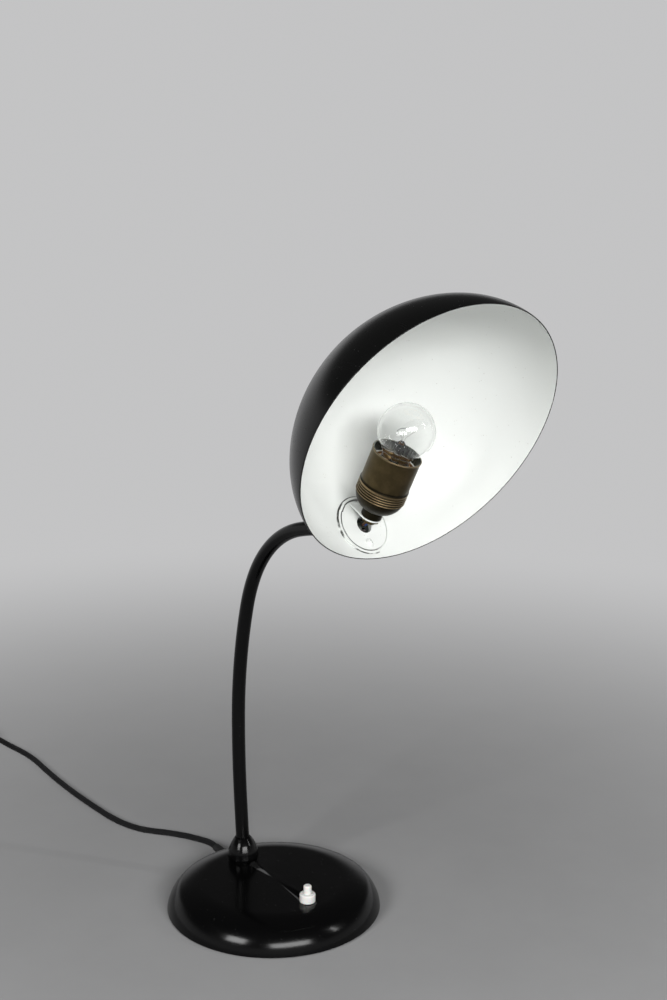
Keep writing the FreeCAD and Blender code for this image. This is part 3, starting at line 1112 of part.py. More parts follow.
keep("cord_saddle", clamp_block(clamp_low, CORD_Z - CLAMP_GAP / 2))
keep("cord_strap", clamp_block(CORD_Z + CLAMP_GAP / 2, clamp_high))
bolts = []
plate = nodes["base_plate"]
for side in (-1, 1):
    bolt = joined([rod(CLAMP_BOLT_DIA / 2, FELT_THICK, clamp_high),
                   rod(CLAMP_BOLT_HEAD / 2, clamp_high, clamp_high + CLAMP_BOLT_TALL)])
    bolt = bolt.cut(Part.makeBox(CLAMP_BOLT_HEAD, CONTACT_THICK, CLAMP_BOLT_TALL,
                                 V(-CLAMP_BOLT_HEAD / 2, -CONTACT_THICK / 2,
                                   clamp_high + CLAMP_BOLT_TALL / 2)))
    place = on_cord(CLAMP_PLACE, side * CLAMP_SPACING / 2, 0)
    bolts.append(stood(bolt, place))
    plate = plate.cut(stood(rod(CLAMP_BOLT_DIA / 2 + THREAD_GAP, 0, BASE_TOP), place))
keep("clamp_bolts", bolts)
keep("base_plate", plate)

cord_points = [tuple(on_cord(grommet_end)), tuple(on_cord(grommet_end + 2 * CORD_DIA))] + CORD_ROUTE
cord_radii = []
run_line = rounded_route(cord_points, cord_radii)
keep("cord_run", tube(run_line, cord_radius))
print("cord arcs of radius", [round(radius, 1) for radius in cord_radii], "mm")


def biarc(start, start_heading, end, end_heading):
    """Two tangent arcs in space from one point and heading to another."""
    span = end - start
    both = start_heading + end_heading
    a = both.dot(both) - 4
    b = -2 * span.dot(both)
    c = span.dot(span)
    reach = (-b - math.sqrt(b * b - 4 * a * c)) / (2 * a)
    first, last = start + start_heading * reach, end - end_heading * reach
    joint = (first + last) / 2
    edges = []
    for one, heading, corner, two in ((start, start_heading, first, joint), (joint, None, last, end)):
        chord_mid = (one + two) / 2
        rise = corner - chord_mid
        half = (two - one).Length / 2
        turn = math.atan2(rise.Length, half)
        edges.append(Part.Arc(one, chord_mid + rise.normalize() * (half * math.tan(turn / 2)),
                              two).toShape())
    return edges


coil_low = CORD_ROUTE[-1][2]
coil_heading = (V(*CORD_ROUTE[-1]) - V(*CORD_ROUTE[-2]))
coil_heading.z = 0
coil_heading.normalize()
turn_back = COIL_TURNS + 0.25
coil_outer = COIL_MID_DIA / 2 + turn_back * COIL_PITCH / 2
coil_begin = V(*CORD_ROUTE[-1]) + coil_heading * CORD_DIA
coil_angle = math.atan2(-coil_heading.x, coil_heading.y)
coil_centre = coil_begin - V(math.cos(coil_angle), math.sin(coil_angle), 0) * coil_outer
coil_centre.z = 0
total_turns = 2 * COIL_TURNS + 0.5


def coil_place(turns):
    """Point and heading on the coil's centre line, counted in turns from where the loops start."""
    def at(t):
        reach = coil_outer - COIL_PITCH * min(t, turn_back) + COIL_PITCH * max(0.0, t - turn_back)
        climb = min(max(2 * (t - COIL_TURNS), 0.0), 1.0)
        height = coil_low + COIL_RISE * (climb - math.sin(2 * math.pi * climb) / (2 * math.pi))
        angle = coil_angle + 2 * math.pi * t
        return V(coil_centre.x + reach * math.cos(angle), coil_centre.y + reach * math.sin(angle), height)
    step = 1e-4
    return at(turns), (at(min(turns + step, total_turns)) - at(max(turns - step, 0.0))).normalize()


coil_steps = int(round(total_turns * 4))
coil_nodes = [coil_place(total_turns * i / coil_steps) for i in range(coil_steps + 1)]
coil_nodes[0] = (coil_begin, coil_heading)
coil_edges = [Part.LineSegment(V(*CORD_ROUTE[-1]), coil_begin).toShape()]
for (one, one_heading), (two, two_heading) in zip(coil_nodes, coil_nodes[1:]):
    coil_edges += biarc(one, one_heading, two, two_heading)
end_place, end_heading = coil_nodes[-1]
coil_end = end_place + end_heading * CORD_DIA
coil_edges.append(Part.LineSegment(end_place, coil_end).toShape())
coil_wire = Part.Wire(coil_edges)
coil_tube = coil_wire.makePipeShell([Part.Wire(Part.makeCircle(cord_radius, V(*CORD_ROUTE[-1]),
                                                               coil_heading))], True, False)
keep("cord_coil", coil_tube)
samples = []
for edge in coil_edges:
    samples += edge.discretize(Number=9)[:-1]
walked, marks = 0.0, [0.0]
for one, two in zip(samples, samples[1:]):
    walked += (two - one).Length
    marks.append(walked)
least = min((samples[i] - samples[j]).Length for i in range(len(samples)) for j in range(i + 1,
                                                                                         len(samples))
            if marks[j] - marks[i] > 3 * CORD_DIA)
print("coil's least gap to itself", round(least - CORD_DIA, 2), "mm over", round(coil_wire.Length), "mm")

# Tie round the coil
tie_angle = coil_angle + 2 * math.pi * TIE_TURN_SHARE
tie_outer = coil_outer - COIL_PITCH * TIE_TURN_SHARE + cord_radius + TIE_GAP
tie_inner = coil_outer - COIL_PITCH * (COIL_TURNS - 1 + TIE_TURN_SHARE) - cord_radius - TIE_GAP
tie_low = coil_low - cord_radius - TIE_THICK
tie_high = coil_low + COIL_RISE + cord_radius + TIE_GAP


def tie_block(grow, bottom, top, edge):
    block = Part.makeBox(tie_outer - tie_inner + 2 * grow, TIE_WIDE, top - bottom,
                         V(tie_inner - grow, -TIE_WIDE / 2, bottom))
    return block.makeFillet(edge,
                            [e for e in block.Edges if abs(e.tangentAt(0).y) > abs(e.tangentAt(0).x) + abs(e.tangentAt(0).z)])


tie = tie_block(TIE_THICK, max(tie_low, 0.0), tie_high + TIE_THICK, TIE_EDGE + TIE_THICK).cut(
    tie_block(0.0, coil_low - cord_radius - TIE_GAP / 4, tie_high, TIE_EDGE))
keep("coil_tie", stood(around(tie, math.degrees(tie_angle)), coil_centre))

# The cord's last stretch and a flat two-pin plug
away = V(-end_heading.y, end_heading.x, 0).negative()
plug_z = PLUG_THICK / 2
fall = coil_end.z - plug_z
end_points = [coil_end, coil_end + end_heading * END_RUN + V(0, 0, -fall / 5),
              coil_end + end_heading * (2 * END_RUN) + away * END_SWING + V(0, 0, -fall * 4 / 5),
              coil_end + end_heading * (3 * END_RUN) + away * (3 * END_SWING) + V(0, 0, -fall)]
end_radii = []
keep("cord_end", tube(rounded_route([tuple(p) for p in end_points], end_radii), cord_radius))
print("cord end arcs of radius", [round(radius, 1) for radius in end_radii], "mm")
plug_axis = end_points[-1] - end_points[-2]
plug_axis.z = 0
plug_axis.normalize()
outline = [(-PLUG_REAR / 2, 0), (-PLUG_WIDE / 2, PLUG_LONG - PLUG_SHOULDER), (-PLUG_WIDE / 2, PLUG_LONG),
           (PLUG_WIDE / 2, PLUG_LONG),
           (PLUG_WIDE / 2, PLUG_LONG - PLUG_SHOULDER), (PLUG_REAR / 2, 0)]
plug = outline_face(outline, lambda x, y: V(x, y, -PLUG_THICK / 2)).extrude(V(0, 0, PLUG_THICK))
plug = plug.makeFillet(PLUG_EDGE, plug.Edges)
plug = around(plug, math.degrees(math.atan2(-plug_axis.x, plug_axis.y)))
plug.translate(end_points[-1])
keep("plug_body", plug)
pins = []
for side in (-1, 1):
    pin = turned((0.0, 0.0), (PIN_DIA / 2, 0.0), (PIN_DIA / 2, PIN_LONG - PIN_DIA / 2),
                 ("arc", (PIN_DIA / 2 * math.sin(math.pi / 4),
                          PIN_LONG - PIN_DIA / 2 * (1 - math.cos(math.pi / 4))), (0.0, PIN_LONG)))
    place = end_points[-1] + plug_axis * PLUG_LONG + V(plug_axis.y, -plug_axis.x,
                                                       0) * (side * PIN_SPACING / 2)
    pins.append(stood(pin, place, plug_axis))
keep("plug_pins", pins)

# One file for each named piece
for name, shape in nodes.items():
    shape.exportStep("parts/%s.step" % name)
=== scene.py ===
"""A black enamelled desk lamp, dressed piece by piece around its packed construction.

Metres. The lamp stands on z = 0 with its base's centre over the origin, and faces -Y.
"""
import json
import math

import bmesh
import bpy
import numpy as np
from mathutils import Matrix, Vector


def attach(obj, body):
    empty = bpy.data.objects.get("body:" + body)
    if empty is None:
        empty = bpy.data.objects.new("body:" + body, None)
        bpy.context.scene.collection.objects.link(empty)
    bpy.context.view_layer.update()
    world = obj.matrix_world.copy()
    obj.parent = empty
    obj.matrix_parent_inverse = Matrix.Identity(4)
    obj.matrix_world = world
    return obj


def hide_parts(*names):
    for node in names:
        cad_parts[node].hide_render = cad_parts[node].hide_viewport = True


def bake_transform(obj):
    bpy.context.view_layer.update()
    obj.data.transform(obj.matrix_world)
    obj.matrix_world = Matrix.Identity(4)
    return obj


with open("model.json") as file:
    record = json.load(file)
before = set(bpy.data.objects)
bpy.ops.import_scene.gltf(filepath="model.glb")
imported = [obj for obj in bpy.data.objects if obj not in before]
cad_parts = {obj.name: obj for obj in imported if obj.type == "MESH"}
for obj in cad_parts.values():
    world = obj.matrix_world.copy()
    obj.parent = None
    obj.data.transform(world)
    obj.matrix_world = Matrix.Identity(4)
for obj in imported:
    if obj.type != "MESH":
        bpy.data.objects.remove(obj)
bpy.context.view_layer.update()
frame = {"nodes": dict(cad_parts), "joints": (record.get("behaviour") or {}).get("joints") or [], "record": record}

# Camera: stands in front of the lamp, to its left and above it, as the photographer did,
# with a 50 mm lens on a 36 mm frame.
CAMERA_PLACE = Vector((-0.6578, -0.9779, 0.6201))
CAMERA_YAW = math.radians(36.48)     # from +Y towards +X
CAMERA_PITCH = math.radians(11.54)   # below level
CAMERA_ROLL = math.radians(0.34)
look = Vector((math.sin(CAMERA_YAW) * math.cos(CAMERA_PITCH), math.cos(CAMERA_YAW) * math.cos(CAMERA_PITCH),
               -math.sin(CAMERA_PITCH)))
level = Vector((math.cos(CAMERA_YAW), -math.sin(CAMERA_YAW), 0))
upright = level.cross(look)
across = level * math.cos(CAMERA_ROLL) + upright * math.sin(CAMERA_ROLL)
over = upright * math.cos(CAMERA_ROLL) - level * math.sin(CAMERA_ROLL)
lens = bpy.data.cameras.new("studio_lens")
lens.lens = 50
lens.sensor_width = 36
camera = bpy.data.objects.new("studio_camera", lens)
bpy.context.scene.collection.objects.link(camera)
camera.matrix_world = Matrix.Translation(CAMERA_PLACE) @ Matrix((across, over, -look)).transposed().to_4x4()
bpy.context.scene.camera = camera


# Mains cord: two cores in a black rubber jacket under a braided cotton sleeve. It leaves the grommet, wanders over
# the table, and its spare length is wound into a tied coil of two layers with the plug beside it.
CORD_DIA = 0.006
OUTLET_AZIMUTH = math.radians(5)
OUTLET_HEIGHT = 0.008
GROMMET_TIP = 0.1175
COIL_TURNS = 3
COIL_PITCH = 0.0066
COIL_RISE = 0.0065
COIL_MID_DIA = 0.069
POINTS_PER_TURN = 24
END_RUN = 0.020
END_SWING = 0.003
PLUG_THICK = 0.0137


def from_outlet(distance):
    """The point at a distance from the lamp's centre along the cord's outlet."""
    return (distance * math.sin(OUTLET_AZIMUTH), distance * math.cos(OUTLET_AZIMUTH), OUTLET_HEIGHT)


ON_TABLE = [(0.0054, 0.1643), (-0.0067, 0.183), (-0.0227, 0.2015), (-0.0316, 0.2217), (-0.0366, 0.2461),
            (-0.0384, 0.2757), (-0.0395, 0.3073), (-0.040, 0.3398), (-0.0393, 0.370), (-0.0376, 0.4053),
            (-0.0346, 0.444), (-0.0364, 0.473), (-0.040, 0.497)]
CORD_ROUTE = [from_outlet(GROMMET_TIP), from_outlet(GROMMET_TIP + 2 * CORD_DIA), (0.0108, 0.148, 0.0042),
              *((x, y, CORD_DIA / 2) for x, y in ON_TABLE), (-0.043, 0.523, 0.0033), (-0.0465, 0.548, 0.0041)]


def direction(vector):
    """The vector with length one."""
    vector = np.asarray(vector, float)
    return vector / np.maximum(np.linalg.norm(vector, axis=-1, keepdims=True), 1e-12)


def coil_points():
    """Centre line of the coil: the reach shrinks by a pitch a turn on the lower layer, and grows again on the upper
    one, with the climb in the half turn where it reverses. It is drawn a hair wide, because the spline cuts in."""
    start, before = np.array(CORD_ROUTE[-1]), np.array(CORD_ROUTE[-2])
    heading = direction((start - before) * (1, 1, 0))
    turn_back = COIL_TURNS + 0.25
    outer = COIL_MID_DIA / 2 + turn_back * COIL_PITCH / 2
    begin = start + heading * CORD_DIA
    first = math.atan2(-heading[0], heading[1])
    centre = begin - outer * np.array((math.cos(first), math.sin(first), 0))
    turns = np.linspace(0, 2 * COIL_TURNS + 0.5, int((2 * COIL_TURNS + 0.5) * POINTS_PER_TURN) + 1)
    reach = outer - COIL_PITCH * np.minimum(turns, turn_back) + COIL_PITCH * np.maximum(0, turns - turn_back)
    reach *= 4 / (3 + math.cos(2 * math.pi / POINTS_PER_TURN))
    climb = np.clip(2 * (turns - COIL_TURNS), 0, 1)
    height = start[2] + COIL_RISE * (climb - np.sin(2 * math.pi * climb) / (2 * math.pi))
    angle = first + 2 * math.pi * turns
    return np.stack([centre[0] + reach * np.cos(angle), centre[1] + reach * np.sin(angle), height], 1)


def cord_points():
    """The whole route: the listed run, the coil's turns, and the last stretch down to the plug."""
    coil = coil_points()
    heading = direction(coil[-1] - coil[-2])
    away = np.array((heading[1], -heading[0], 0))
    leave = coil[-1] + heading * CORD_DIA
    fall = np.array((0, 0, leave[2] - PLUG_THICK / 2))
    last = [leave, leave + heading * END_RUN - fall / 5,
            leave + heading * 2 * END_RUN + away * END_SWING - fall * 4 / 5,
            leave + heading * 3 * END_RUN + away * 3 * END_SWING - fall]
    return np.concatenate([CORD_ROUTE, coil, last])


def spline_line(points, detail):
    """Points along the smooth line that has these as its control points."""
    line = bpy.data.curves.new("cord_line", "CURVE")
    line.dimensions = "3D"
    spline = line.splines.new("NURBS")
    spline.points.add(len(points) - 1)
    spline.points.foreach_set("co", np.column_stack([points, np.ones(len(points))]).ravel())
    spline.order_u = 3
    spline.use_endpoint_u = True
    spline.resolution_u = detail
    holder = bpy.data.objects.new("cord_line", line)
    mesh = bpy.data.meshes.new_from_object(holder)
    found = np.zeros(len(mesh.vertices) * 3)
    mesh.vertices.foreach_get("co", found)
    bpy.data.objects.remove(holder)
    return found.reshape(-1, 3)


def surface(name, grid, closed_rows=False, sharp=32, place=None, marks=None, lengths=None):
    """A piece from a grid of points, rows by columns, whose columns close on themselves. A row that shrinks to one
    point becomes a pole, and open end rows get a cap. Faces are turned outwards by the sign of the volume."""
    rows, columns = grid.shape[:2]
    points = grid.reshape(-1, 3)
    if place is not None:
        points = points @ np.array(place)[:3, :3].T + np.array(place)[:3, 3]
    i = np.arange(rows if closed_rows else rows - 1)[:, None]
    j = np.arange(columns)[None, :]
    ahead, beside = (i + 1) % rows, (j + 1) % columns
    faces = np.stack([i * columns + j, ahead * columns + j, ahead * columns + beside, i * columns + beside], -1)
    faces = faces.reshape(-1, 4)
    a, b, c, d = (points[faces[:, k]] for k in range(4))
    volume = (np.cross(a, b) * c).sum() + (np.cross(a, c) * d).sum()
    caps = []
    if not closed_rows:
        for row, order in ((0, 1), (rows - 1, -1)):
            ring = np.arange(row * columns, (row + 1) * columns)[::order]
            if np.ptp(points[ring], axis=0).max() > 1e-7:
                caps.append(ring)
                fan = points[ring]
                volume += (np.cross(fan[0], fan[1:-1]) * fan[2:]).sum()
    if volume < 0:
        faces = faces[:, ::-1]
        caps = [ring[::-1] for ring in caps]
    mesh = bpy.data.meshes.new(name)
    mesh.from_pydata(points.tolist(), [], faces.tolist() + [ring.tolist() for ring in caps])
    if marks is not None:
        layer = mesh.attributes.new("brass_marks", "FLOAT", "POINT")
        layer.data.foreach_set("value", np.repeat(marks, columns).astype(np.float32))
    if lengths is not None:
        corners = np.zeros(len(mesh.loops), np.int32)
        mesh.loops.foreach_get("vertex_index", corners)
        u, v = np.tile(np.arange(columns) / columns, rows)[corners], np.repeat(lengths, columns)[corners]
        quad_u = u[:len(faces) * 4].reshape(-1, 4)
        wraps = np.ptp(quad_u, axis=1) > 0.5
        quad_u[wraps] = np.where(quad_u[wraps] < 0.5, quad_u[wraps] + 1, quad_u[wraps])
        sheet = mesh.uv_layers.new(name="along")
        sheet.data.foreach_set("uv", np.stack([u, v], 1).astype(np.float32).ravel())
    soft = bmesh.new()
    soft.from_mesh(mesh)
    bmesh.ops.remove_doubles(soft, verts=soft.verts, dist=1e-7)
    soft.to_mesh(mesh)
    soft.free()
    mesh.shade_smooth()
    mesh.set_sharp_from_angle(angle=math.radians(sharp))
    piece = bpy.data.objects.new(name, mesh)
    bpy.context.scene.collection.objects.link(piece)
    return piece


def swept(line, radius, reference, around):
    """Rings about a line: centre + radius (cos a times side + sin a times up), where side is the heading crossed
    with a reference direction and up completes the frame."""
    line = np.asarray(line, float)
    heading = direction(np.gradient(line, axis=0))
    side = direction(np.cross(heading, reference))
    up = np.cross(side, heading)
    angle = 2 * math.pi * np.arange(around) / around
    ring = np.cos(angle)[None, :, None] * side[:, None, :] + np.sin(angle)[None, :, None] * up[:, None, :]
    return line[:, None, :] + radius * ring


def walked(line):
    """Distance along a line at each of its points."""
    steps = np.linalg.norm(np.diff(line, axis=0), axis=1)
    return np.concatenate([[0], np.cumsum(steps)])


def add(tree, kind, inputs=None, **settings):
    """One shader node. An input is a plain value or another node's output."""
    made = tree.nodes.new(kind)
    for key, value in settings.items():
        setattr(made, key, value)
    for key, value in (inputs or {}).items():
        socket = made.inputs[key]
        if isinstance(value, bpy.types.NodeSocket):
            tree.links.new(value, socket)
        else:
            socket.default_value = value
    return made


def maths(tree, operation, first, second=0.0, third=0.0):
    return add(tree, "ShaderNodeMath", {0: first, 1: second, 2: third}, operation=operation).outputs[0]


def noise(tree, where, scale, detail=3.0, roughness=0.5):
    return add(tree, "ShaderNodeTexNoise", {"Vector": where, "Scale": scale, "Detail": detail,
                                            "Roughness": roughness}).outputs["Fac"]


def ramp(tree, value, low, high, start=0.0, end=1.0, kind="SMOOTHSTEP"):
    """The value carried from start to end as it goes from low to high."""
    return add(tree, "ShaderNodeMapRange", {"Value": value, "From Min": low, "From Max": high, "To Min": start,
                                            "To Max": end}, interpolation_type=kind).outputs[0]


def blend_colours(tree, mask, first, second):
    """First colour where the mask is 0, second where it is 1."""
    return add(tree, "ShaderNodeMix", {"Factor": mask, "A": first, "B": second}, data_type="RGBA").outputs["Result"]


def colour(red, green, blue):
    return (red, green, blue, 1.0)


def new_group(name, inputs, outputs):
    """An empty shader group with float inputs and outputs, its entry's sockets and its exit."""
    tree = bpy.data.node_groups.new(name, "ShaderNodeTree")
    for key, value in inputs.items():
        kind = "NodeSocketVector" if value is None else "NodeSocketFloat"
        socket = tree.interface.new_socket(key, in_out="INPUT", socket_type=kind)
        if value is not None:
            socket.default_value = value
    for key in outputs:
        tree.interface.new_socket(key, in_out="OUTPUT", socket_type="NodeSocketFloat")
    return tree, tree.nodes.new("NodeGroupInput").outputs, tree.nodes.new("NodeGroupOutput")


def use_group(tree, group, inputs):
    return add(tree, "ShaderNodeGroup", inputs, node_tree=group).outputs


def new_material(name, **values):
    """A material with one Principled surface, its constant values set on the surface's own sockets."""
    material = bpy.data.materials.new(name)
    material.use_nodes = True
    tree = material.node_tree
    shader = tree.nodes["Principled BSDF"]
    for key, value in values.items():
        shader.inputs[key.replace("_", " ")].default_value = value
    return material, tree, shader, tree.nodes.new("ShaderNodeTexCoord").outputs["Object"]


def feed(tree, node, **inputs):
    """Links values to a node's sockets: Base_Color goes to Base Color, and so on."""
    for key, value in inputs.items():
        tree.links.new(value, node.inputs[key.replace("_", " ")])


def bump(tree, shader, height, distance):
    """Height in the range 0 to 1 raises the surface by up to the distance."""
    made = add(tree, "ShaderNodeBump", {"Height": height, "Distance": distance, "Strength": 1.0})
    feed(tree, shader, Normal=made.outputs["Normal"])


def braid_group():
    """Two families of yarns that cross: waves of turns + length and turns - length, where the higher wave is on top."""
    tree, given, out = new_group("braided_sleeve", {"Turn": 0.0, "Length": 0.0, "Yarns": 12.0, "Per Metre": 260.0},
                                 ("Height", "Gap"))
    round_part = maths(tree, "MULTIPLY", given["Turn"], given["Yarns"])
    along_part = maths(tree, "MULTIPLY", given["Length"], given["Per Metre"])
    waves = []
    for operation in ("ADD", "SUBTRACT"):
        phase = maths(tree, "MULTIPLY", maths(tree, operation, round_part, along_part), 2 * math.pi)
        waves.append(maths(tree, "MULTIPLY_ADD", maths(tree, "SINE", phase), 0.5, 0.5))
    height = maths(tree, "MAXIMUM", waves[0], waves[1])
    feed(tree, out, Height=height, Gap=ramp(tree, height, 0.45, 0.85, 1.0, 0.0))
    return tree


def sleeve_material():
    """Matt black cotton with a little dust between the yarns."""
    material, tree, shader, where = new_material("braided_cotton", Specular_IOR_Level=0.2, Sheen_Weight=0.06,
                                                 Sheen_Roughness=0.4, Sheen_Tint=colour(0.6, 0.6, 0.62))
    sheet = add(tree, "ShaderNodeUVMap", uv_map="along")
    parts = add(tree, "ShaderNodeSeparateXYZ", {0: sheet.outputs[0]}).outputs
    braid = use_group(tree, braid_group(), {"Turn": parts["X"], "Length": parts["Y"]})
    fuzz = noise(tree, where, 900, 4)
    lint = ramp(tree, noise(tree, where, 90, 5, 0.65), 0.55, 0.8)
    dusty = maths(tree, "MULTIPLY", maths(tree, "MULTIPLY_ADD", braid["Gap"], 0.6, 0.25), lint)
    tone = blend_colours(tree, dusty, colour(0.005, 0.005, 0.0055), colour(0.045, 0.043, 0.040))
    feed(tree, shader, Base_Color=tone, Roughness=ramp(tree, fuzz, 0.2, 0.8, 0.62, 0.85))
    bump(tree, shader, maths(tree, "MULTIPLY_ADD", fuzz, 0.25, braid["Height"]), 0.00035)
    return material


def paint(piece, *materials):
    """Gives a piece its materials."""
    piece.data.materials.clear()
    for material in materials:
        piece.data.materials.append(material)
    return piece


def dress(slot, material):
    """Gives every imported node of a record's material slot the same finish."""
    for row in frame["record"]["subparts"]:
        if row["material_slot"] == slot:
            paint(frame["nodes"][row["node"]], material)


cord_line = spline_line(cord_points(), 8)
cord_run = surface("mains_cord", swept(cord_line, CORD_DIA / 2, (0, 0, 1), 20), lengths=walked(cord_line))
paint(cord_run, sleeve_material())
dress("cord_black", cord_run.data.materials[0])
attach(cord_run, "base")
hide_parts("cord_run", "cord_coil", "cord_end")


# Plug, tie and housings: moulded black plastic, matt, with the faint mottle that a mould leaves. The same plastic
# makes the switch's housing and the cord's clamp inside the base.
def mottle_group():
    """Slow and fast noise mixed: a roughness that changes by a spread, and a height."""
    tree, given, out = new_group("moulded_mottle", {"Where": None, "Scale": 400.0, "Base": 0.4, "Spread": 0.15},
                                 ("Roughness", "Height"))
    fine = noise(tree, given["Where"], given["Scale"])
    coarse = noise(tree, given["Where"], 45.0, 4)
    mixed = maths(tree, "MULTIPLY_ADD", coarse, 0.6, maths(tree, "MULTIPLY", fine, 0.4))
    spread = maths(tree, "MULTIPLY", maths(tree, "SUBTRACT", mixed, 0.5), given["Spread"])
    feed(tree, out, Roughness=maths(tree, "ADD", given["Base"], spread), Height=fine)
    return tree


mottle = mottle_group()


def moulded_material(name, body, dust_colour, rough, spread, scale, height):
    """A moulded plastic or rubber: one colour with faint dust in its mottle."""
    material, tree, shader, where = new_material(name)
    made = use_group(tree, mottle, {"Where": where, "Scale": scale, "Base": rough, "Spread": spread})
    dust = ramp(tree, noise(tree, where, 60, 5, 0.7), 0.56, 0.85, 0.0, 0.5)
    feed(tree, shader, Base_Color=blend_colours(tree, dust, body, dust_colour), Roughness=made["Roughness"])
    bump(tree, shader, made["Height"], height)
    return material


dress("black_plastic", moulded_material("black_plastic", colour(0.012, 0.012, 0.013), colour(0.05, 0.048, 0.045),
                                        0.42, 0.3, 700, 0.00004))
dress("black_rubber", moulded_material("black_rubber", colour(0.005, 0.005, 0.005), colour(0.022, 0.021, 0.020),
                                       0.6, 0.3, 500, 0.00005))


# Underside: a felt disc over a zinc-plated plate, and above it the cast-iron weight, the stud, the washers and
# nuts. They show only from below or where the lamp is opened.
def felt_material():
    """Dark green felt: short fibres every way, lighter where they stand up."""
    material, tree, shader, where = new_material("green_felt", Roughness=0.95, Specular_IOR_Level=0.1, Sheen_Weight=0.4)
    fibres = noise(tree, where, 1400, 6, 0.7)
    clumps = noise(tree, where, 120, 4)
    mixed = maths(tree, "MULTIPLY_ADD", fibres, 0.6, maths(tree, "MULTIPLY", clumps, 0.4))
    raised = ramp(tree, mixed, 0.35, 0.65)
    feed(tree, shader, Base_Color=blend_colours(tree, raised, colour(0.012, 0.022, 0.015), colour(0.035, 0.055, 0.04)))
    bump(tree, shader, mixed, 0.0004)
    return material


def metal_material(name, bright, dull, rough, spread, patches, grain=900.0, height=0.00002):
    """A metal with duller patches: colour and roughness follow one noise, and a fine grain breaks the gloss."""
    material, tree, shader, where = new_material(name, Metallic=1.0)
    patch = ramp(tree, noise(tree, where, patches, 5, 0.6), 0.38, 0.68)
    made = use_group(tree, mottle, {"Where": where, "Scale": grain, "Base": rough, "Spread": spread})
    feed(tree, shader, Base_Color=blend_colours(tree, patch, bright, dull),
         Roughness=maths(tree, "MULTIPLY_ADD", patch, spread / 2, made["Roughness"]))
    bump(tree, shader, made["Height"], height)
    return material


dress("felt", felt_material())
zinc_plate = metal_material("zinc_plate", colour(0.62, 0.62, 0.60), colour(0.42, 0.42, 0.40), 0.32, 0.2, 160)
dress("zinc_steel", zinc_plate)
dress("tungsten", metal_material("tungsten", colour(0.32, 0.32, 0.33), colour(0.18, 0.18, 0.18), 0.4, 0.2, 900))
iron = metal_material("cast_iron", colour(0.10, 0.10, 0.10), colour(0.05, 0.04, 0.035), 0.7, 0.3, 90, 350, 0.0003)
dress("cast_iron", iron)


# Base cover: one dish of 1.5 mm steel, deep-drawn so that three arcs run into each other from the side to the
# flat crown, with a small curled foot. Gloss black enamel.
BASE_RADIUS = 0.0975
COVER_WALL = 0.0015
COVER_FOOT = 0.001
COVER_LIP = 0.0006
SOFT_EDGE = 0.0003
SIDE_RADII = (0.0319, 0.0124, 0.0543)
SIDE_SLOPES = tuple(math.radians(degrees) for degrees in (9.35, 44.6, 67.2, 90.0))
SWITCH_Y = -0.0531
ARM_Y = 0.0516
TUBE_RADIUS = 0.00625
HAIR_GAP = 0.00006
SWITCH_HOLE = 0.0055
OUTLET_HOLE = 0.00575


def side_line(inset, steps=24):
    """The cover's side, moved in by an inset: r falls by R (cos a - cos t) and z rises by R (sin t - sin a) as the
    slope t turns through each arc."""
    r = BASE_RADIUS - inset * math.cos(SIDE_SLOPES[0])
    z = COVER_FOOT + COVER_LIP - inset * math.sin(SIDE_SLOPES[0])
    pieces = [np.array([[r, z]])]
    for radius, a, b in zip(SIDE_RADII, SIDE_SLOPES, SIDE_SLOPES[1:]):
        t = np.linspace(a, b, steps)[1:]
        size = radius - inset
        pieces.append(np.stack([r - size * (math.cos(a) - np.cos(t)), z + size * (np.sin(t) - math.sin(a))], 1))
        r, z = pieces[-1][-1]
    return np.concatenate(pieces)


def turned(profile, around=192):
    """A profile of (radius, height) swept about Z: x = r cos a, y = r sin a, z = h."""
    profile = np.asarray(profile, float)
    angle = 2 * math.pi * np.arange(around) / around
    x, y = np.outer(profile[:, 0], np.cos(angle)), np.outer(profile[:, 0], np.sin(angle))
    return np.stack([x, y, np.repeat(profile[:, 1:2], around, 1)], -1)


def rounded(corners, steps=5):
    """An outline through (radius, height, rounding) corners, where each becomes an arc of that rounding."""
    points = np.array([corner[:2] for corner in corners], float)
    out = [points[0]]
    for before, corner, after, rounding in zip(points, points[1:], points[2:], [c[2] for c in corners[1:-1]]):
        back, on = direction(before - corner), direction(after - corner)
        half = math.acos(max(-1.0, min(1.0, float(back @ on)))) / 2
        if rounding == 0 or half > math.pi / 2 - 1e-3:
            out.append(corner)
            continue
        middle = corner + direction(back + on) * (rounding / math.sin(half))
        start, end = corner + back * (rounding / math.tan(half)), corner + on * (rounding / math.tan(half))
        share = np.linspace(0, 1, steps)[:, None]
        out.extend(middle + direction((1 - share) * (start - middle) + share * (end - middle)) * rounding)
    out.append(points[-1])
    return np.array(out)


def turning(axis, to=(0, 0, 1)):
    """The rotation that carries one direction to another."""
    return Vector(to).rotation_difference(Vector(axis)).to_matrix().to_4x4()


def bar(radius, bottom, top, place, around=96):
    """A plain round bar on Z, used to cut a hole."""
    return surface("cutter", turned([(0, bottom), (radius, bottom), (radius, top), (0, top)], around), place=place)


def cut(piece, *cutters):
    """Takes the cutters away from the piece and removes them."""
    for cutter in cutters:
        step = piece.modifiers.new("cut", "BOOLEAN")
        step.object = cutter
        step.operation = "DIFFERENCE"
        step.solver = "EXACT"
    bpy.context.view_layer.update()
    ready = piece.evaluated_get(bpy.context.evaluated_depsgraph_get())
    mesh = bpy.data.meshes.new_from_object(ready)
    piece.modifiers.clear()
    piece.data = mesh
    for cutter in cutters:
        bpy.data.objects.remove(cutter)
    return piece


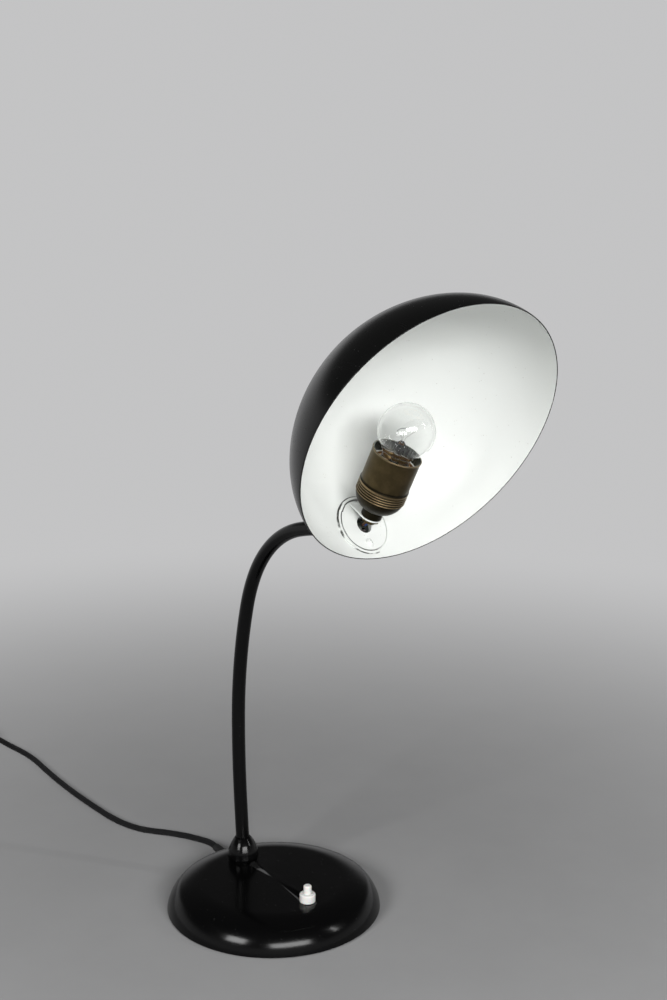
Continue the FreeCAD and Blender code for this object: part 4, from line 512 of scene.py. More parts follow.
outer_side, inner_side = side_line(0.0), side_line(COVER_WALL)
BASE_TOP = float(outer_side[-1][1])
foot = rounded([(inner_side[0][0], COVER_FOOT + COVER_LIP, 0), (inner_side[0][0], COVER_FOOT, SOFT_EDGE),
                (BASE_RADIUS, COVER_FOOT, COVER_LIP), (BASE_RADIUS, COVER_FOOT + COVER_LIP, 0)])
cover_line = np.concatenate([[(0, BASE_TOP - COVER_WALL)], inner_side[::-1], foot[1:-1], outer_side, [(0, BASE_TOP)]])
cover = surface("enamelled_cover", turned(cover_line, 256))
outlet = Vector(from_outlet(1)) * Vector((1, 1, 0))
cut(cover,
    bar(TUBE_RADIUS + HAIR_GAP, 0, 2 * BASE_TOP, Matrix.Translation((0, ARM_Y, 0))),
    bar(SWITCH_HOLE, 0, 2 * BASE_TOP, Matrix.Translation((0, SWITCH_Y, 0))),
    bar(OUTLET_HOLE, BASE_RADIUS / 2, 2 * BASE_RADIUS, Matrix.Translation((0, 0, OUTLET_HEIGHT)) @ turning(outlet)))


def gloss_group():
    """Handled gloss: slow smudges raise the roughness, hair scratches cross it, and a slow ripple bends it."""
    tree, given, out = new_group("handled_gloss", {"Where": None, "Base": 0.08, "Smudge": 0.1, "Scratch": 0.1},
                                 ("Roughness", "Ripple", "Dust"))
    smudge = ramp(tree, noise(tree, given["Where"], 22.0, 5, 0.6), 0.45, 0.75)
    hairs = []
    for turn, scale in ((0.6, 260.0), (2.1, 330.0)):
        turned_where = add(tree, "ShaderNodeMapping", {"Vector": given["Where"], "Rotation": (0.0, turn / 3, turn),
                                                       "Scale": (1.0, 0.02, 1.0)}).outputs[0]
        hairs.append(ramp(tree, noise(tree, turned_where, scale, 2), 0.66, 0.7))
    hair = maths(tree, "MULTIPLY", maths(tree, "MAXIMUM", hairs[0], hairs[1]), given["Scratch"])
    smudged = maths(tree, "MULTIPLY_ADD", smudge, given["Smudge"], given["Base"])
    waves = [noise(tree, given["Where"], scale, 2) for scale in (170.0, 34.0)]
    specks = add(tree, "ShaderNodeTexVoronoi", {"Vector": given["Where"], "Scale": 420.0}).outputs["Distance"]
    few = ramp(tree, noise(tree, given["Where"], 160.0, 2), 0.6, 0.66)
    feed(tree, out, Roughness=maths(tree, "ADD", smudged, hair),
         Ripple=maths(tree, "MULTIPLY_ADD", waves[0], 0.3, waves[1]),
         Dust=maths(tree, "MULTIPLY", ramp(tree, specks, 0.10, 0.16, 1.0, 0.0), few))
    return tree


gloss = gloss_group()


def enamel_material(name, body, dust, base, smudge, ripple, **values):
    """Stoved enamel over steel: even colour, a mirror that handling has dulled a little, and specks of dust."""
    material, tree, shader, where = new_material(name, **values)
    made = use_group(tree, gloss, {"Where": where, "Base": base, "Smudge": smudge, "Scratch": 0.05})
    feed(tree, shader, Base_Color=blend_colours(tree, made["Dust"], body, dust),
         Roughness=maths(tree, "MULTIPLY_ADD", made["Dust"], 0.3, made["Roughness"]))
    bump(tree, shader, made["Ripple"], ripple)
    return material


black_gloss = enamel_material("black_enamel", colour(0.0016, 0.0016, 0.0017), colour(0.03, 0.03, 0.03), 0.16, 0.04,
                              0.00009, Specular_IOR_Level=0.18)
paint(cover, black_gloss)
dress("black_enamel", black_gloss)
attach(cover, "base")
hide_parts("base_cover")

# Push switch: an ivory collar screwed down on the cover, and the button that slides in it. Both are moulded in
# urea plastic, slightly yellowed, with rounded edges.
COLLAR_HIGH = BASE_TOP + 0.0075
COLLAR_RADIUS = 0.0071
COLLAR_BEVEL = 0.0009
COLLAR_BORE = 0.00522
LIP_THICK = 0.0015
BUTTON_RADIUS = 0.0036
BUTTON_HIGH = COLLAR_HIGH + 0.0076
BUTTON_LOW = BASE_TOP - 0.008
BUTTON_ROUND = 0.0014
STEM_RADIUS = 0.0018
FLANGE_RADIUS = 0.0042
FLANGE_LOW = COLLAR_HIGH - 0.0036
FLANGE_HIGH = COLLAR_HIGH - LIP_THICK - HAIR_GAP
FINE_EDGE = 0.0002
BROAD_EDGE = 0.0004
PEAK = 0.00002                      # lifts a pole, so that the ring beside it is rounded, and is cut off again


def ivory_material():
    """Ivory urea plastic: soft gloss, a little light under the skin, and grime in a few pores."""
    material, tree, shader, where = new_material("ivory_plastic", Subsurface_Weight=0.15, Subsurface_Scale=0.002)
    pores = ramp(tree, noise(tree, where, 240, 5, 0.7), 0.55, 0.8, 0.0, 0.35)
    made = use_group(tree, mottle, {"Where": where, "Scale": 800.0, "Base": 0.26, "Spread": 0.2})
    feed(tree, shader, Base_Color=blend_colours(tree, pores, colour(0.75, 0.745, 0.72), colour(0.50, 0.47, 0.40)),
         Roughness=made["Roughness"])
    bump(tree, shader, made["Height"], 0.00002)
    return material


ivory = ivory_material()
dress("ivory_plastic", ivory)
switch_place = Matrix.Translation((0, SWITCH_Y, 0))
collar_line = rounded([(COLLAR_BORE, BASE_TOP, 0), (COLLAR_BORE, BASE_TOP, 0), (COLLAR_RADIUS, BASE_TOP, SOFT_EDGE),
                       (COLLAR_RADIUS, COLLAR_HIGH - COLLAR_BEVEL, BROAD_EDGE),
                       (COLLAR_RADIUS - COLLAR_BEVEL, COLLAR_HIGH, BROAD_EDGE),
                       (BUTTON_RADIUS + HAIR_GAP, COLLAR_HIGH, FINE_EDGE),
                       (BUTTON_RADIUS + HAIR_GAP, COLLAR_HIGH - LIP_THICK, 0),
                       (COLLAR_BORE, COLLAR_HIGH - LIP_THICK, 0)])[1:]
collar = surface("switch_collar_shell", turned(collar_line, 96), closed_rows=True, place=switch_place)
button_line = rounded([(0, BUTTON_LOW, 0), (STEM_RADIUS, BUTTON_LOW, SOFT_EDGE), (STEM_RADIUS, FLANGE_LOW, 0),
                       (FLANGE_RADIUS, FLANGE_LOW, FINE_EDGE), (FLANGE_RADIUS, FLANGE_HIGH, FINE_EDGE),
                       (BUTTON_RADIUS, FLANGE_HIGH, 0), (BUTTON_RADIUS, BUTTON_HIGH, BUTTON_ROUND),
                       (0, BUTTON_HIGH + PEAK, 0)], 8)
button_line[:, 1] = np.minimum(button_line[:, 1], BUTTON_HIGH)
button = surface("push_button", turned(button_line, 96), place=switch_place)
for piece, body, node in ((collar, "base", "switch_collar"), (button, "button", "switch_button")):
    paint(piece, ivory)
    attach(piece, body)
    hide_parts(node)

# Return spring: steel wire coiled round the button's stem, from a ledge of the switch body up to the button's
# flange. It shortens as the button goes down.
SPRING_WIRE = 0.00035
SPRING_TURNS = 5
SPRING_AROUND = 10
spring_box = np.array([tuple(corner) for corner in frame["nodes"]["switch_spring"].bound_box])
low, high = spring_box.min(0) + SPRING_WIRE, spring_box.max(0) - SPRING_WIRE
middle, reach = (low + high) / 2, (high - low)[0] / 2
wound = np.linspace(0, 2 * math.pi * SPRING_TURNS, SPRING_TURNS * POINTS_PER_TURN + 1)
helix = np.stack([middle[0] + reach * np.cos(wound), middle[1] + reach * np.sin(wound),
                  np.linspace(low[2], high[2], len(wound))], 1)
spring = surface("return_spring", swept(helix, SPRING_WIRE, (0, 0, 1), SPRING_AROUND))
paint(spring, zinc_plate)
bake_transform(spring)
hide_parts("switch_spring")

# Arm: one bent steel tube, 12.5 mm, in the same gloss black, fixed by a nut under the cover. A bell-shaped collar,
# turned and enamelled too, covers its foot and leans with it.
TUBE_BORE = 0.005
TUBE_FOOT = 0.012
FOOT_RISE = 0.0042
FOOT_BEND = (0.060, -4.55)          # radius, and degrees that it turns forward
ARM_STRAIGHT = 0.0463
ARM_BENDS = ((0.920, 5.05), (0.430, 15.23), (0.145, 12.55), (0.116, 46.27), (0.274, 7.0))
END_STRAIGHT = 0.029                # up to the tube's end, 17 mm from the ball's centre
COLLAR_LEAN = math.radians(2.3)
STEP_LONG = 0.004                   # between rings of the tube where it is straight
STEP_DEGREES = 0.8                  # and where it is bent
BELL_FOOT = -0.003                  # below the crown, where the bell is then trimmed to it
BELL_TOP = 0.0214
BELL_CLEAR = 0.0002                 # over the crown
BELL_OUTLINE = [(0.0134, BELL_FOOT, 0), (0.0134, 0.0002, 0.0008), (0.0144, 0.0022, 0.002), (0.0140, 0.0085, 0.012),
                (0.0125, 0.0126, 0.010), (0.0112, 0.0155, 0.010), (0.00985, 0.0178, 0.003),
                (0.00765, 0.0211, 0.0008), (0.0070, BELL_TOP, SOFT_EDGE), (0, BELL_TOP, 0)]


def arm_line():
    """The tube's centre line in the plane x = 0: straight lengths and tangent arcs, each arc the points
    centre + radius (cos, sin) of the lean."""
    place, lean = np.array((ARM_Y, TUBE_FOOT)), 0.0
    line = [place[None]]

    def straight(length):
        nonlocal place
        steps = np.linspace(0, 1, max(2, int(length / STEP_LONG)))[1:, None]
        line.append(place + steps * length * np.array((-math.sin(lean), math.cos(lean))))
        place = line[-1][-1]

    def bend(radius, degrees):
        nonlocal place, lean
        turn, sign = math.radians(degrees), math.copysign(1, degrees)
        centre = place - sign * radius * np.array((math.cos(lean), math.sin(lean)))
        angle = lean + turn * np.linspace(0, 1, max(6, int(abs(degrees) / STEP_DEGREES)))[1:]
        line.append(centre + sign * radius * np.stack([np.cos(angle), np.sin(angle)], 1))
        place, lean = line[-1][-1], lean + turn

    straight(BASE_TOP + FOOT_RISE - TUBE_FOOT)
    bend(*FOOT_BEND)
    straight(ARM_STRAIGHT)
    for radius, degrees in ARM_BENDS:
        bend(radius, degrees)
    straight(END_STRAIGHT)
    flat = np.concatenate(line)
    return np.column_stack([np.zeros(len(flat)), flat])


tube_line = arm_line()
tube_wall = np.concatenate([swept(tube_line, TUBE_RADIUS, (1, 0, 0), 72),
                            swept(tube_line[::-1], TUBE_BORE, (-1, 0, 0), 72)])
tube = surface("bent_tube", tube_wall, closed_rows=True)
bell_line = np.concatenate([[(0, BELL_FOOT)], rounded(BELL_OUTLINE, 8)])
crown_place = Matrix.Translation((0, ARM_Y, BASE_TOP))
bell_place = crown_place @ Matrix.Rotation(-COLLAR_LEAN, 4, "X")
bell = surface("foot_collar", turned(bell_line, 128), place=bell_place, sharp=40)
tube_cutter = surface("cutter", swept(tube_line, TUBE_RADIUS + HAIR_GAP / 3, (1, 0, 0), 72))
base_cutter = bar(0.030, -0.010, BELL_CLEAR, crown_place)
cut(bell, tube_cutter, base_cutter)
for piece, node in ((tube, "arm_tube"), (bell, "arm_collar")):
    paint(piece, black_gloss)
    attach(piece, "arm")
    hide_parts(node)

# Shade: spun from 0.8 mm steel, with the curve of a superellipse from the rim to the crown. Satin black outside,
# white enamel inside, and the rim left black, so that it draws a hairline round the white.
SHADE_RADIUS = 0.1157
SHADE_DEPTH = 0.0928
SHADE_WALL = 0.0008
SHADE_POWER = 1.778
SHADE_TILT = math.radians(27.63)
SHADE_ROLL = math.radians(5.2)
JOINT_DEPTH = 0.0289
BALL_LIFT = 0.0066
BALL_PLACE = Vector(next(joint for joint in frame["joints"] if joint["name"] == "shade_tilt")["pos_m"])
SHADE_HOLE = 0.01126


def shade_line(inset, steps=96):
    """Rim to crown: radius (R - inset) cos(t)^(2/p) and height (D - inset) sin(t)^(2/p)."""
    t = np.linspace(0, math.pi / 2, steps)
    reach = np.clip(np.cos(t), 0, 1) ** (2 / SHADE_POWER)
    reach[-1] = 0
    return np.stack([(SHADE_RADIUS - inset) * reach, (SHADE_DEPTH - inset) * np.sin(t) ** (2 / SHADE_POWER)], 1)


# The joint goes through the wall where the inside is JOINT_DEPTH deep, along the gradient of
# (r / R)^p + (z / D)^p = 1 there.
joint_share = JOINT_DEPTH / (SHADE_DEPTH - SHADE_WALL)
reach_share = (1 - joint_share ** SHADE_POWER) ** (1 / SHADE_POWER)
joint_reach = (SHADE_RADIUS - SHADE_WALL) * reach_share
slope = direction((reach_share ** (SHADE_POWER - 1) / (SHADE_RADIUS - SHADE_WALL),
                   joint_share ** (SHADE_POWER - 1) / (SHADE_DEPTH - SHADE_WALL)))
joint_out = Vector((0, slope[0], slope[1]))
HEAD_PLACE = (Matrix.Translation(BALL_PLACE) @ Matrix.Rotation(SHADE_TILT - math.pi / 2, 4, "X")
              @ Matrix.Rotation(SHADE_ROLL, 4, "Z"))
RIM_Z = -(JOINT_DEPTH + slope[1] * BALL_LIFT)
SHADE_PLACE = HEAD_PLACE @ Matrix.Translation((0, -(joint_reach + slope[0] * BALL_LIFT), RIM_Z))
JOINT_PLACE = HEAD_PLACE @ turning(joint_out)
outside, inside = shade_line(0.0), shade_line(SHADE_WALL)
curl = np.linspace(0, math.pi, 9)[1:-1]
rim = np.stack([SHADE_RADIUS - SHADE_WALL / 2 + SHADE_WALL / 2 * np.cos(curl), -SHADE_WALL / 3 * np.sin(curl)], 1)
shade_profile = np.concatenate([outside[::-1], rim, inside])
shade = surface("spun_shade", turned(shade_profile, 256), place=SHADE_PLACE, sharp=60)
cut(shade, bar(SHADE_HOLE, -0.04, 0.01, JOINT_PLACE))


def faces_of(piece, place):
    """Middle and outward direction of each face, in the frame that the piece was placed from."""
    back = np.array(place.inverted())
    found = []
    for key in ("center", "normal"):
        values = np.zeros(len(piece.data.polygons) * 3)
        piece.data.polygons.foreach_get(key, values)
        found.append(values.reshape(-1, 3) @ back[:3, :3].T)
    return found[0] + back[:3, 3], found[1]


def from_axis(tree, where, place):
    """Distance from a frame's Z axis: the length of (point - origin) crossed with the axis."""
    for operation, value in (("SUBTRACT", place.to_translation()), ("CROSS_PRODUCT", place.to_3x3().col[2])):
        where = add(tree, "ShaderNodeVectorMath", {0: where, 1: value}, operation=operation).outputs[0]
    return add(tree, "ShaderNodeVectorMath", {0: where}, operation="LENGTH").outputs["Value"]


def painted_shade_group():
    """A painted shade line between two distances from an axis, broken up in places by noise."""
    tree, given, out = new_group("ring_painted_shade", {"Where": None, "Distance": 0.0, "Inner": 0.02, "Outer": 0.021,
                                                "Soft": 0.0003, "Breakup": 0.4}, ("Grime",))
    before = maths(tree, "SUBTRACT", given["Inner"], given["Soft"])
    after = maths(tree, "ADD", given["Outer"], given["Soft"])
    starts = ramp(tree, given["Distance"], before, given["Inner"], kind="LINEAR")
    ends = ramp(tree, given["Distance"], given["Outer"], after, 1.0, 0.0, kind="LINEAR")
    patchy = ramp(tree, noise(tree, given["Where"], 110.0, 3), 0.40, 0.56)
    kept = maths(tree, "SUBTRACT", 1.0, maths(tree, "MULTIPLY", patchy, given["Breakup"]))
    feed(tree, out, Grime=maths(tree, "MULTIPLY", maths(tree, "MULTIPLY", starts, ends), kept))
    return tree


painted_shade_tree = painted_shade_group()


def white_material(name, *lines):
    """White enamel: soft gloss, a few specks, slightly cool. Each painted shade line about the joint's axis, for the
    shade in the gaps at the edges of the disc and the ring, has its inner and outer distance and how far noise breaks
    it up, and all of them fade towards +X, where less shade falls."""
    material, tree, shader, where = new_material(name)
    made = use_group(tree, gloss, {"Where": where, "Base": 0.30, "Smudge": 0.12, "Scratch": 0.04})
    reach = from_axis(tree, where, JOINT_PLACE)
    # Painted shade: dark lines in the gaps round the seat's disc and ring, fading out towards +X.
    painted_shade_lines = 0.0
    for inner, outer, breakup in lines:
        line = use_group(tree, painted_shade_tree, {"Where": where, "Distance": reach, "Inner": inner, "Outer": outer, "Breakup": breakup})
        painted_shade_lines = maths(tree, "MAXIMUM", painted_shade_lines, line["Grime"])
    across = add(tree, "ShaderNodeSeparateXYZ", {0: where}).outputs["X"]
    painted_shade_lines = maths(tree, "MULTIPLY", painted_shade_lines, ramp(tree, across, 0.004, 0.015, 1.0, 0.06))
    speckled = blend_colours(tree, made["Dust"], colour(0.81, 0.83, 0.805), colour(0.46, 0.44, 0.40))
    # Where the painted shade lines lie, the enamel goes near black and rougher.
    feed(tree, shader, Base_Color=blend_colours(tree, painted_shade_lines, speckled, colour(0.035, 0.036, 0.032)),
         Roughness=maths(tree, "MULTIPLY_ADD", painted_shade_lines, 0.4, made["Roughness"]))
    bump(tree, shader, made["Ripple"], 0.00005)
    return material


shade_black = enamel_material("shade_enamel", colour(0.0026, 0.0027, 0.0026), colour(0.03, 0.03, 0.03), 0.22, 0.06,
                              0.00005, Specular_IOR_Level=0.3)
SEAT_RADIUS = 0.0245
DISC_RADIUS = 0.0215
# Painted shade lines: a painted shadow on the shade's wall just outside the seat ring, and on the seat the shade in the
# gaps at the disc's edge and at the ring's edge.
shade_white = white_material("white_enamel", (SEAT_RADIUS, SEAT_RADIUS + 0.0006, 1.0))
seat_white = white_material("seat_enamel", (DISC_RADIUS + 0.0001, DISC_RADIUS + 0.0008, 0.3),
                            (SEAT_RADIUS, SEAT_RADIUS + 0.001, 0.95))
paint(shade, shade_black, shade_white)
middles, facing = faces_of(shade, SHADE_PLACE)
outwards = middles * (1, 1, (SHADE_RADIUS / SHADE_DEPTH) ** 2)
is_inside = ((facing * outwards).sum(1) < 0) & (middles[:, 2] > 0)
shade.data.polygons.foreach_set("material_index", is_inside.astype(np.int32))
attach(shade, "head")
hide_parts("shade")
dress("shade_enamel", shade_black)
dress("white_enamel", seat_white)
paint(frame["nodes"]["clamp_screw"], white_material("screw_enamel"))
# The ball shows only down the seat's bore; its dark steel colour also paints in the shade of the bore.
dark_steel_and_shade = metal_material("dark_steel_and_shade", colour(0.07, 0.075, 0.068), colour(0.02, 0.021, 0.018), 0.4, 0.2, 200)
paint(frame["nodes"]["ball_stud"], dark_steel_and_shade)

# Socket body: turned and spun brass with a dark patina, worn bright on its ridges and at the mouth, with a painted
# highlight ring on its band, and the cap and collar coloured darker. A collar, a domed cap, a band with four ridges and
# a plain shell that flares at its lip.
SOCKET_IN = 0.0208
SOCKET_DEPTH = 0.024
SOCKET_SLANT = math.radians(2.3)
CAP_LOW = 0.0071
BAND_LOW = 0.0196
SHELL_LOW = 0.0306
MOUTH = 0.059
SHELL_RADIUS = 0.0197
BAND_RADIUS = 0.0203
SHELL_BORE = 0.0189
RIDGES = 4
RIDGE_PITCH = 0.0021
RIDGE_DEEP = 0.0008
STEP_LOW = 0.0003                   # along the axis, from the band's edge to the shell
LIP_DEEP = 0.0011
LIP_FLARE = (0.0005, 0.0003)        # how far the lip stands out, at its widest and at the mouth
NIPPLE_RADIUS = 0.005
SOCKET_PLACE = (HEAD_PLACE @ Matrix.Translation((0, -SOCKET_IN, RIM_Z + SOCKET_DEPTH))
                @ Matrix.Rotation(math.pi / 2 - SOCKET_SLANT, 4, "X"))


def band_line():
    """The ridged band: radius less a groove, cos(pi z / pitch)^2 deep, at each end of a ridge."""
    z = np.linspace(0, RIDGES * RIDGE_PITCH, RIDGES * 16 + 1)
    groove = np.cos(math.pi * z / RIDGE_PITCH) ** 2
    return np.stack([BAND_RADIUS - RIDGE_DEEP * groove, BAND_LOW + z], 1), 0.95 * (1 - groove) ** 2 - 1.1 * groove


def shell_profile():
    """Outer line of band and shell up to the lip, then back down the bore, with each point's mark: high on the ridges
    and the lip, where the brass is worn, and on the band below the step, where it paints a highlight ring; low in the
    grooves and at the step, where it is darker.
    """
    ridged, brass_marks = band_line()
    plain = rounded([*((BAND_RADIUS, SHELL_LOW - under, 0) for under in (0.0024, 0.0020, 0.0008)),
                     (BAND_RADIUS, SHELL_LOW, BROAD_EDGE), (SHELL_RADIUS, SHELL_LOW + STEP_LOW, SOFT_EDGE),
                     *((SHELL_RADIUS, SHELL_LOW + past, 0) for past in (0.0012, 0.0026, 0.009)),
                     (SHELL_RADIUS, MOUTH - 0.004, 0), (SHELL_RADIUS, MOUTH - 0.0018, 0.001),
                     (SHELL_RADIUS + LIP_FLARE[0], MOUTH - 0.0008, 0.0005),
                     (SHELL_RADIUS + LIP_FLARE[1], MOUTH, BROAD_EDGE), (SHELL_BORE, MOUTH, SOFT_EDGE),
                     (SHELL_BORE, BAND_LOW, 0)])
    # Marks along the plain band and the shell: a painted highlight ring on the band below the step, a darker line at
    # the step, and plain brass above.
    heights = SHELL_LOW + np.array((-0.0024, -0.0019, -0.0008, -0.0003, 0.0, 0.0006, 0.0018, 0.01))
    marks = np.interp(plain[:, 1], heights, (-0.2, 0.85, 0.8, 0.1, -1.1, -1.1, -0.05, 0.05))
    marks[plain[:, 1] > MOUTH - LIP_DEEP] = 0.7
    return np.concatenate([ridged, plain]), np.concatenate([brass_marks, marks])


def patina_material():
    """Patinated brass: where a point's mark is high, broken up by noise, the brass is worn bright, and on the band
    below the step the same marks paint a highlight ring; where it is low the brass is darker, in the grooves' patina,
    at the step, on the cap and on the collar; between them the metal is olive brown."""
    material, tree, shader, where = new_material("aged_brass", Metallic=1.0)
    brass_marks = add(tree, "ShaderNodeAttribute", attribute_name="brass_marks", attribute_type="GEOMETRY").outputs["Fac"]
    cloud = noise(tree, where, 110, 6, 0.6)
    fine = noise(tree, where, 900, 4, 0.6)
    raised = maths(tree, "MULTIPLY_ADD", fine, 0.35, maths(tree, "MULTIPLY_ADD", cloud, 0.5, brass_marks))
    # High marks give worn bright brass and, on the band, a painted highlight ring; low marks give darker brass.
    wear_and_highlight = ramp(tree, raised, 0.75, 1.7)
    darkened = ramp(tree, raised, -0.3, 0.3, 1.0, 0.0)
    plain = blend_colours(tree, ramp(tree, cloud, 0.35, 0.7), colour(0.066, 0.050, 0.024), colour(0.092, 0.067, 0.033))
    dark = blend_colours(tree, darkened, plain, colour(0.018, 0.015, 0.009))
    feed(tree, shader, Base_Color=blend_colours(tree, wear_and_highlight, dark, colour(0.44, 0.32, 0.185)),
         Roughness=maths(tree, "MULTIPLY_ADD", wear_and_highlight, -0.16, maths(tree, "MULTIPLY_ADD", cloud, 0.2, 0.36)))
    bump(tree, shader, fine, 0.00002)
    return material


aged_brass = patina_material()
dress("aged_brass", aged_brass)
dress("brass", metal_material("plain_brass", colour(0.78, 0.50, 0.22), colour(0.42, 0.22, 0.09), 0.3, 0.2, 300))
shell_line, shell_marks = shell_profile()


def arc(start, end, heading, steps):
    """The arc that leaves start along a heading and ends at end: radius = chord squared / (2 chord . normal)."""
    start, end, heading = np.array(start), np.array(end), direction(heading)
    normal = np.array((-heading[1], heading[0]))
    chord = end - start
    radius = (chord @ chord) / (2 * (chord @ normal))
    centre = start + radius * normal
    first, last = (math.atan2(*(point - centre)[::-1]) for point in (start, end))
    last = first + (last - first + math.pi) % (2 * math.pi) - math.pi
    t = np.linspace(first, last, steps)
    return centre + abs(radius) * np.stack([np.cos(t), np.sin(t)], 1)


CAP_SLOPE = (math.cos(math.radians(20)), math.sin(math.radians(20)))
CAP_TOP = 0.0095
CAP_WALL = 0.0009
NECK_OUTSIDE = 0.0085
cap_outer = arc((CAP_TOP, CAP_LOW), (SHELL_RADIUS, BAND_LOW), CAP_SLOPE, 24)
cap_inner = arc((CAP_TOP - CAP_WALL / 2, CAP_LOW + CAP_WALL), (SHELL_RADIUS - CAP_WALL, BAND_LOW), CAP_SLOPE, 24)[::-1]
cap_profile = np.concatenate([[(NIPPLE_RADIUS, CAP_LOW)], cap_outer, cap_inner, [(NIPPLE_RADIUS, CAP_LOW + CAP_WALL)]])
collar_profile = rounded([(NIPPLE_RADIUS, CAP_LOW / 2, 0), (NIPPLE_RADIUS, 0, 0), (NECK_OUTSIDE, 0, BROAD_EDGE),
                          (NECK_OUTSIDE, CAP_LOW, BROAD_EDGE), (NIPPLE_RADIUS, CAP_LOW, 0),
                          (NIPPLE_RADIUS, CAP_LOW / 2, 0)])[:-1]


def bore_material():
    """The shell's bare inside: tinned metal gone grey-green, with painted dark and bright streaks along the axis that
    stand in for reflections.
    """
    material, tree, shader, where = new_material("tinned_bore", Metallic=1.0)
    sheet = add(tree, "ShaderNodeUVMap", uv_map="along")
    parts = add(tree, "ShaderNodeSeparateXYZ", {0: sheet.outputs[0]}).outputs
    angle = maths(tree, "MULTIPLY", parts["X"], 2 * math.pi)
    ring = add(tree, "ShaderNodeCombineXYZ", {"X": maths(tree, "COSINE", angle), "Y": maths(tree, "SINE", angle),
                                              "Z": maths(tree, "MULTIPLY", parts["Y"], 12.0)}).outputs[0]
    # Painted reflections: dark and bright streaks along the axis, put into the metal's colour.
    painted_reflection_streaks = ramp(tree, noise(tree, ring, 7, 4, 0.7), 0.4, 0.62)
    cloud = noise(tree, where, 260, 5)
    mixed = maths(tree, "MULTIPLY_ADD", painted_reflection_streaks, 0.75, maths(tree, "MULTIPLY", cloud, 0.25))
    feed(tree, shader, Base_Color=blend_colours(tree, mixed, colour(0.05, 0.055, 0.045), colour(0.36, 0.40, 0.36)),
         Roughness=maths(tree, "MULTIPLY_ADD", painted_reflection_streaks, -0.12, 0.42))
    bump(tree, shader, mixed, 0.00003)
    return material


tinned_bore = bore_material()
# The cap and the collar get low marks all over, so they are coloured darker than the shell.
for name, node, line, marks in (("brass_shell", "socket_shell", shell_line, shell_marks),
                                ("brass_cap", "socket_cap", cap_profile, np.full(len(cap_profile), -0.62)),
                                ("brass_collar", "socket_collar", collar_profile,
                                 np.full(len(collar_profile), -1.1))):
    piece = surface(name, turned(line, 160), closed_rows=True, place=SOCKET_PLACE, marks=marks, lengths=walked(line))
    paint(piece, aged_brass, tinned_bore)
    middles, facing = faces_of(piece, SOCKET_PLACE)
    in_bore = ((facing[:, :2] * middles[:, :2]).sum(1) < 0) & (middles[:, 2] > SHELL_LOW)
    piece.data.polygons.foreach_set("material_index", in_bore.astype(np.int32))
    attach(piece, "head")
    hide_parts(node)

# Porcelain: the insert and the ring in the mouth are glazed white china.
dress("porcelain", moulded_material("glazed_china", colour(0.80, 0.79, 0.75), colour(0.5, 0.46, 0.40), 0.12, 0.1,
                                    300, 0.00003))


def mouth_ring_material():
    """The china ring of the mouth: white at its edge, and painted dark brown towards the thread, a painted image of the
    shaded brass that shows down the mouth.
    """
    material, tree, shader, where = new_material("china_painted_brown", Roughness=0.25)
    reach = maths(tree, "MULTIPLY_ADD", noise(tree, where, 300, 4), 0.0012, from_axis(tree, where, SOCKET_PLACE))
    # Painted shade in the brass's colour: the ring goes dark brown inside a radius.
    painted_brown_zone = ramp(tree, reach, 0.0176, 0.0185, 1.0, 0.0)
    painted_mouth_brown = blend_colours(tree, noise(tree, where, 500, 4), colour(0.05, 0.018, 0.004), colour(0.24, 0.10, 0.03))
    feed(tree, shader, Base_Color=blend_colours(tree, painted_brown_zone, colour(0.80, 0.79, 0.75), painted_mouth_brown))
    bump(tree, shader, noise(tree, where, 400, 3), 0.00003)
    return material


paint(frame["nodes"]["socket_ring"], mouth_ring_material())

# Bulb: a clear glass globe of 45 mm on a threaded brass cap, with a glass stem that carries the lead wires, the
# supports and a coiled tungsten filament.
GLOBE_RADIUS = 0.0225
GLOBE_PAST = 0.0194
BULB_LONG = 0.076
GLASS_WALL = 0.0006
GLASS_NECK = 0.012
CAP_HIGH = MOUTH + GLOBE_PAST + GLOBE_RADIUS - BULB_LONG + 0.0263
GLASS_FOOT = CAP_HIGH - 0.007
GLOBE = MOUTH + GLOBE_PAST
JOIN = math.radians(-50)


def glass_line(inset, steps=40):
    """Neck, throat and globe: the throat is an arc from the neck that meets the globe 50 degrees under its
    equator with the same heading."""
    size = GLOBE_RADIUS - inset
    join = (size * math.cos(JOIN), GLOBE + size * math.sin(JOIN))
    throat = arc(join, (GLASS_NECK - inset, CAP_HIGH), (math.sin(JOIN), -math.cos(JOIN)), 14)[::-1]
    t = np.linspace(JOIN, math.pi / 2, steps)[1:]
    ball = np.stack([size * np.cos(t), GLOBE + size * np.sin(t)], 1)
    ball[-1][0] = 0
    return np.concatenate([[(GLASS_NECK - inset, GLASS_FOOT)], throat, ball])


def glass_material():
    """Clear soda glass, very slightly green, with a faint film of dust outside."""
    material, tree, shader, where = new_material("clear_glass", Base_Color=colour(0.994, 0.998, 0.994),
                                                 Transmission_Weight=1.0, IOR=1.46, Metallic=0.0)
    feed(tree, shader, Roughness=ramp(tree, noise(tree, where, 80, 4), 0.5, 0.8, 0.0, 0.03))
    return material


clear_glass = glass_material()
dress("clear_glass", clear_glass)
glass_profile = np.concatenate([glass_line(0.0), glass_line(GLASS_WALL)[::-1]])
glass = surface("globe_glass", turned(glass_profile, 128), closed_rows=True, place=SOCKET_PLACE, sharp=60)
paint(glass, clear_glass)
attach(glass, "head")
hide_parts("bulb_glass")


# Leads: two single wires in plastic insulation, blue and brown, from the hole in the seat to the lampholder, and
# the same wires out of sight in the base, the arm and the ball.
for slot, name, body in (("blue_lead", "blue_insulation", colour(0.03, 0.10, 0.42)),
                         ("brown_lead", "brown_insulation", colour(0.085, 0.04, 0.022)),
                         ("leads", "lead_insulation", colour(0.06, 0.05, 0.05))):
    dress(slot, moulded_material(name, body, colour(0.16, 0.15, 0.14), 0.3, 0.15, 500, 0.00002))

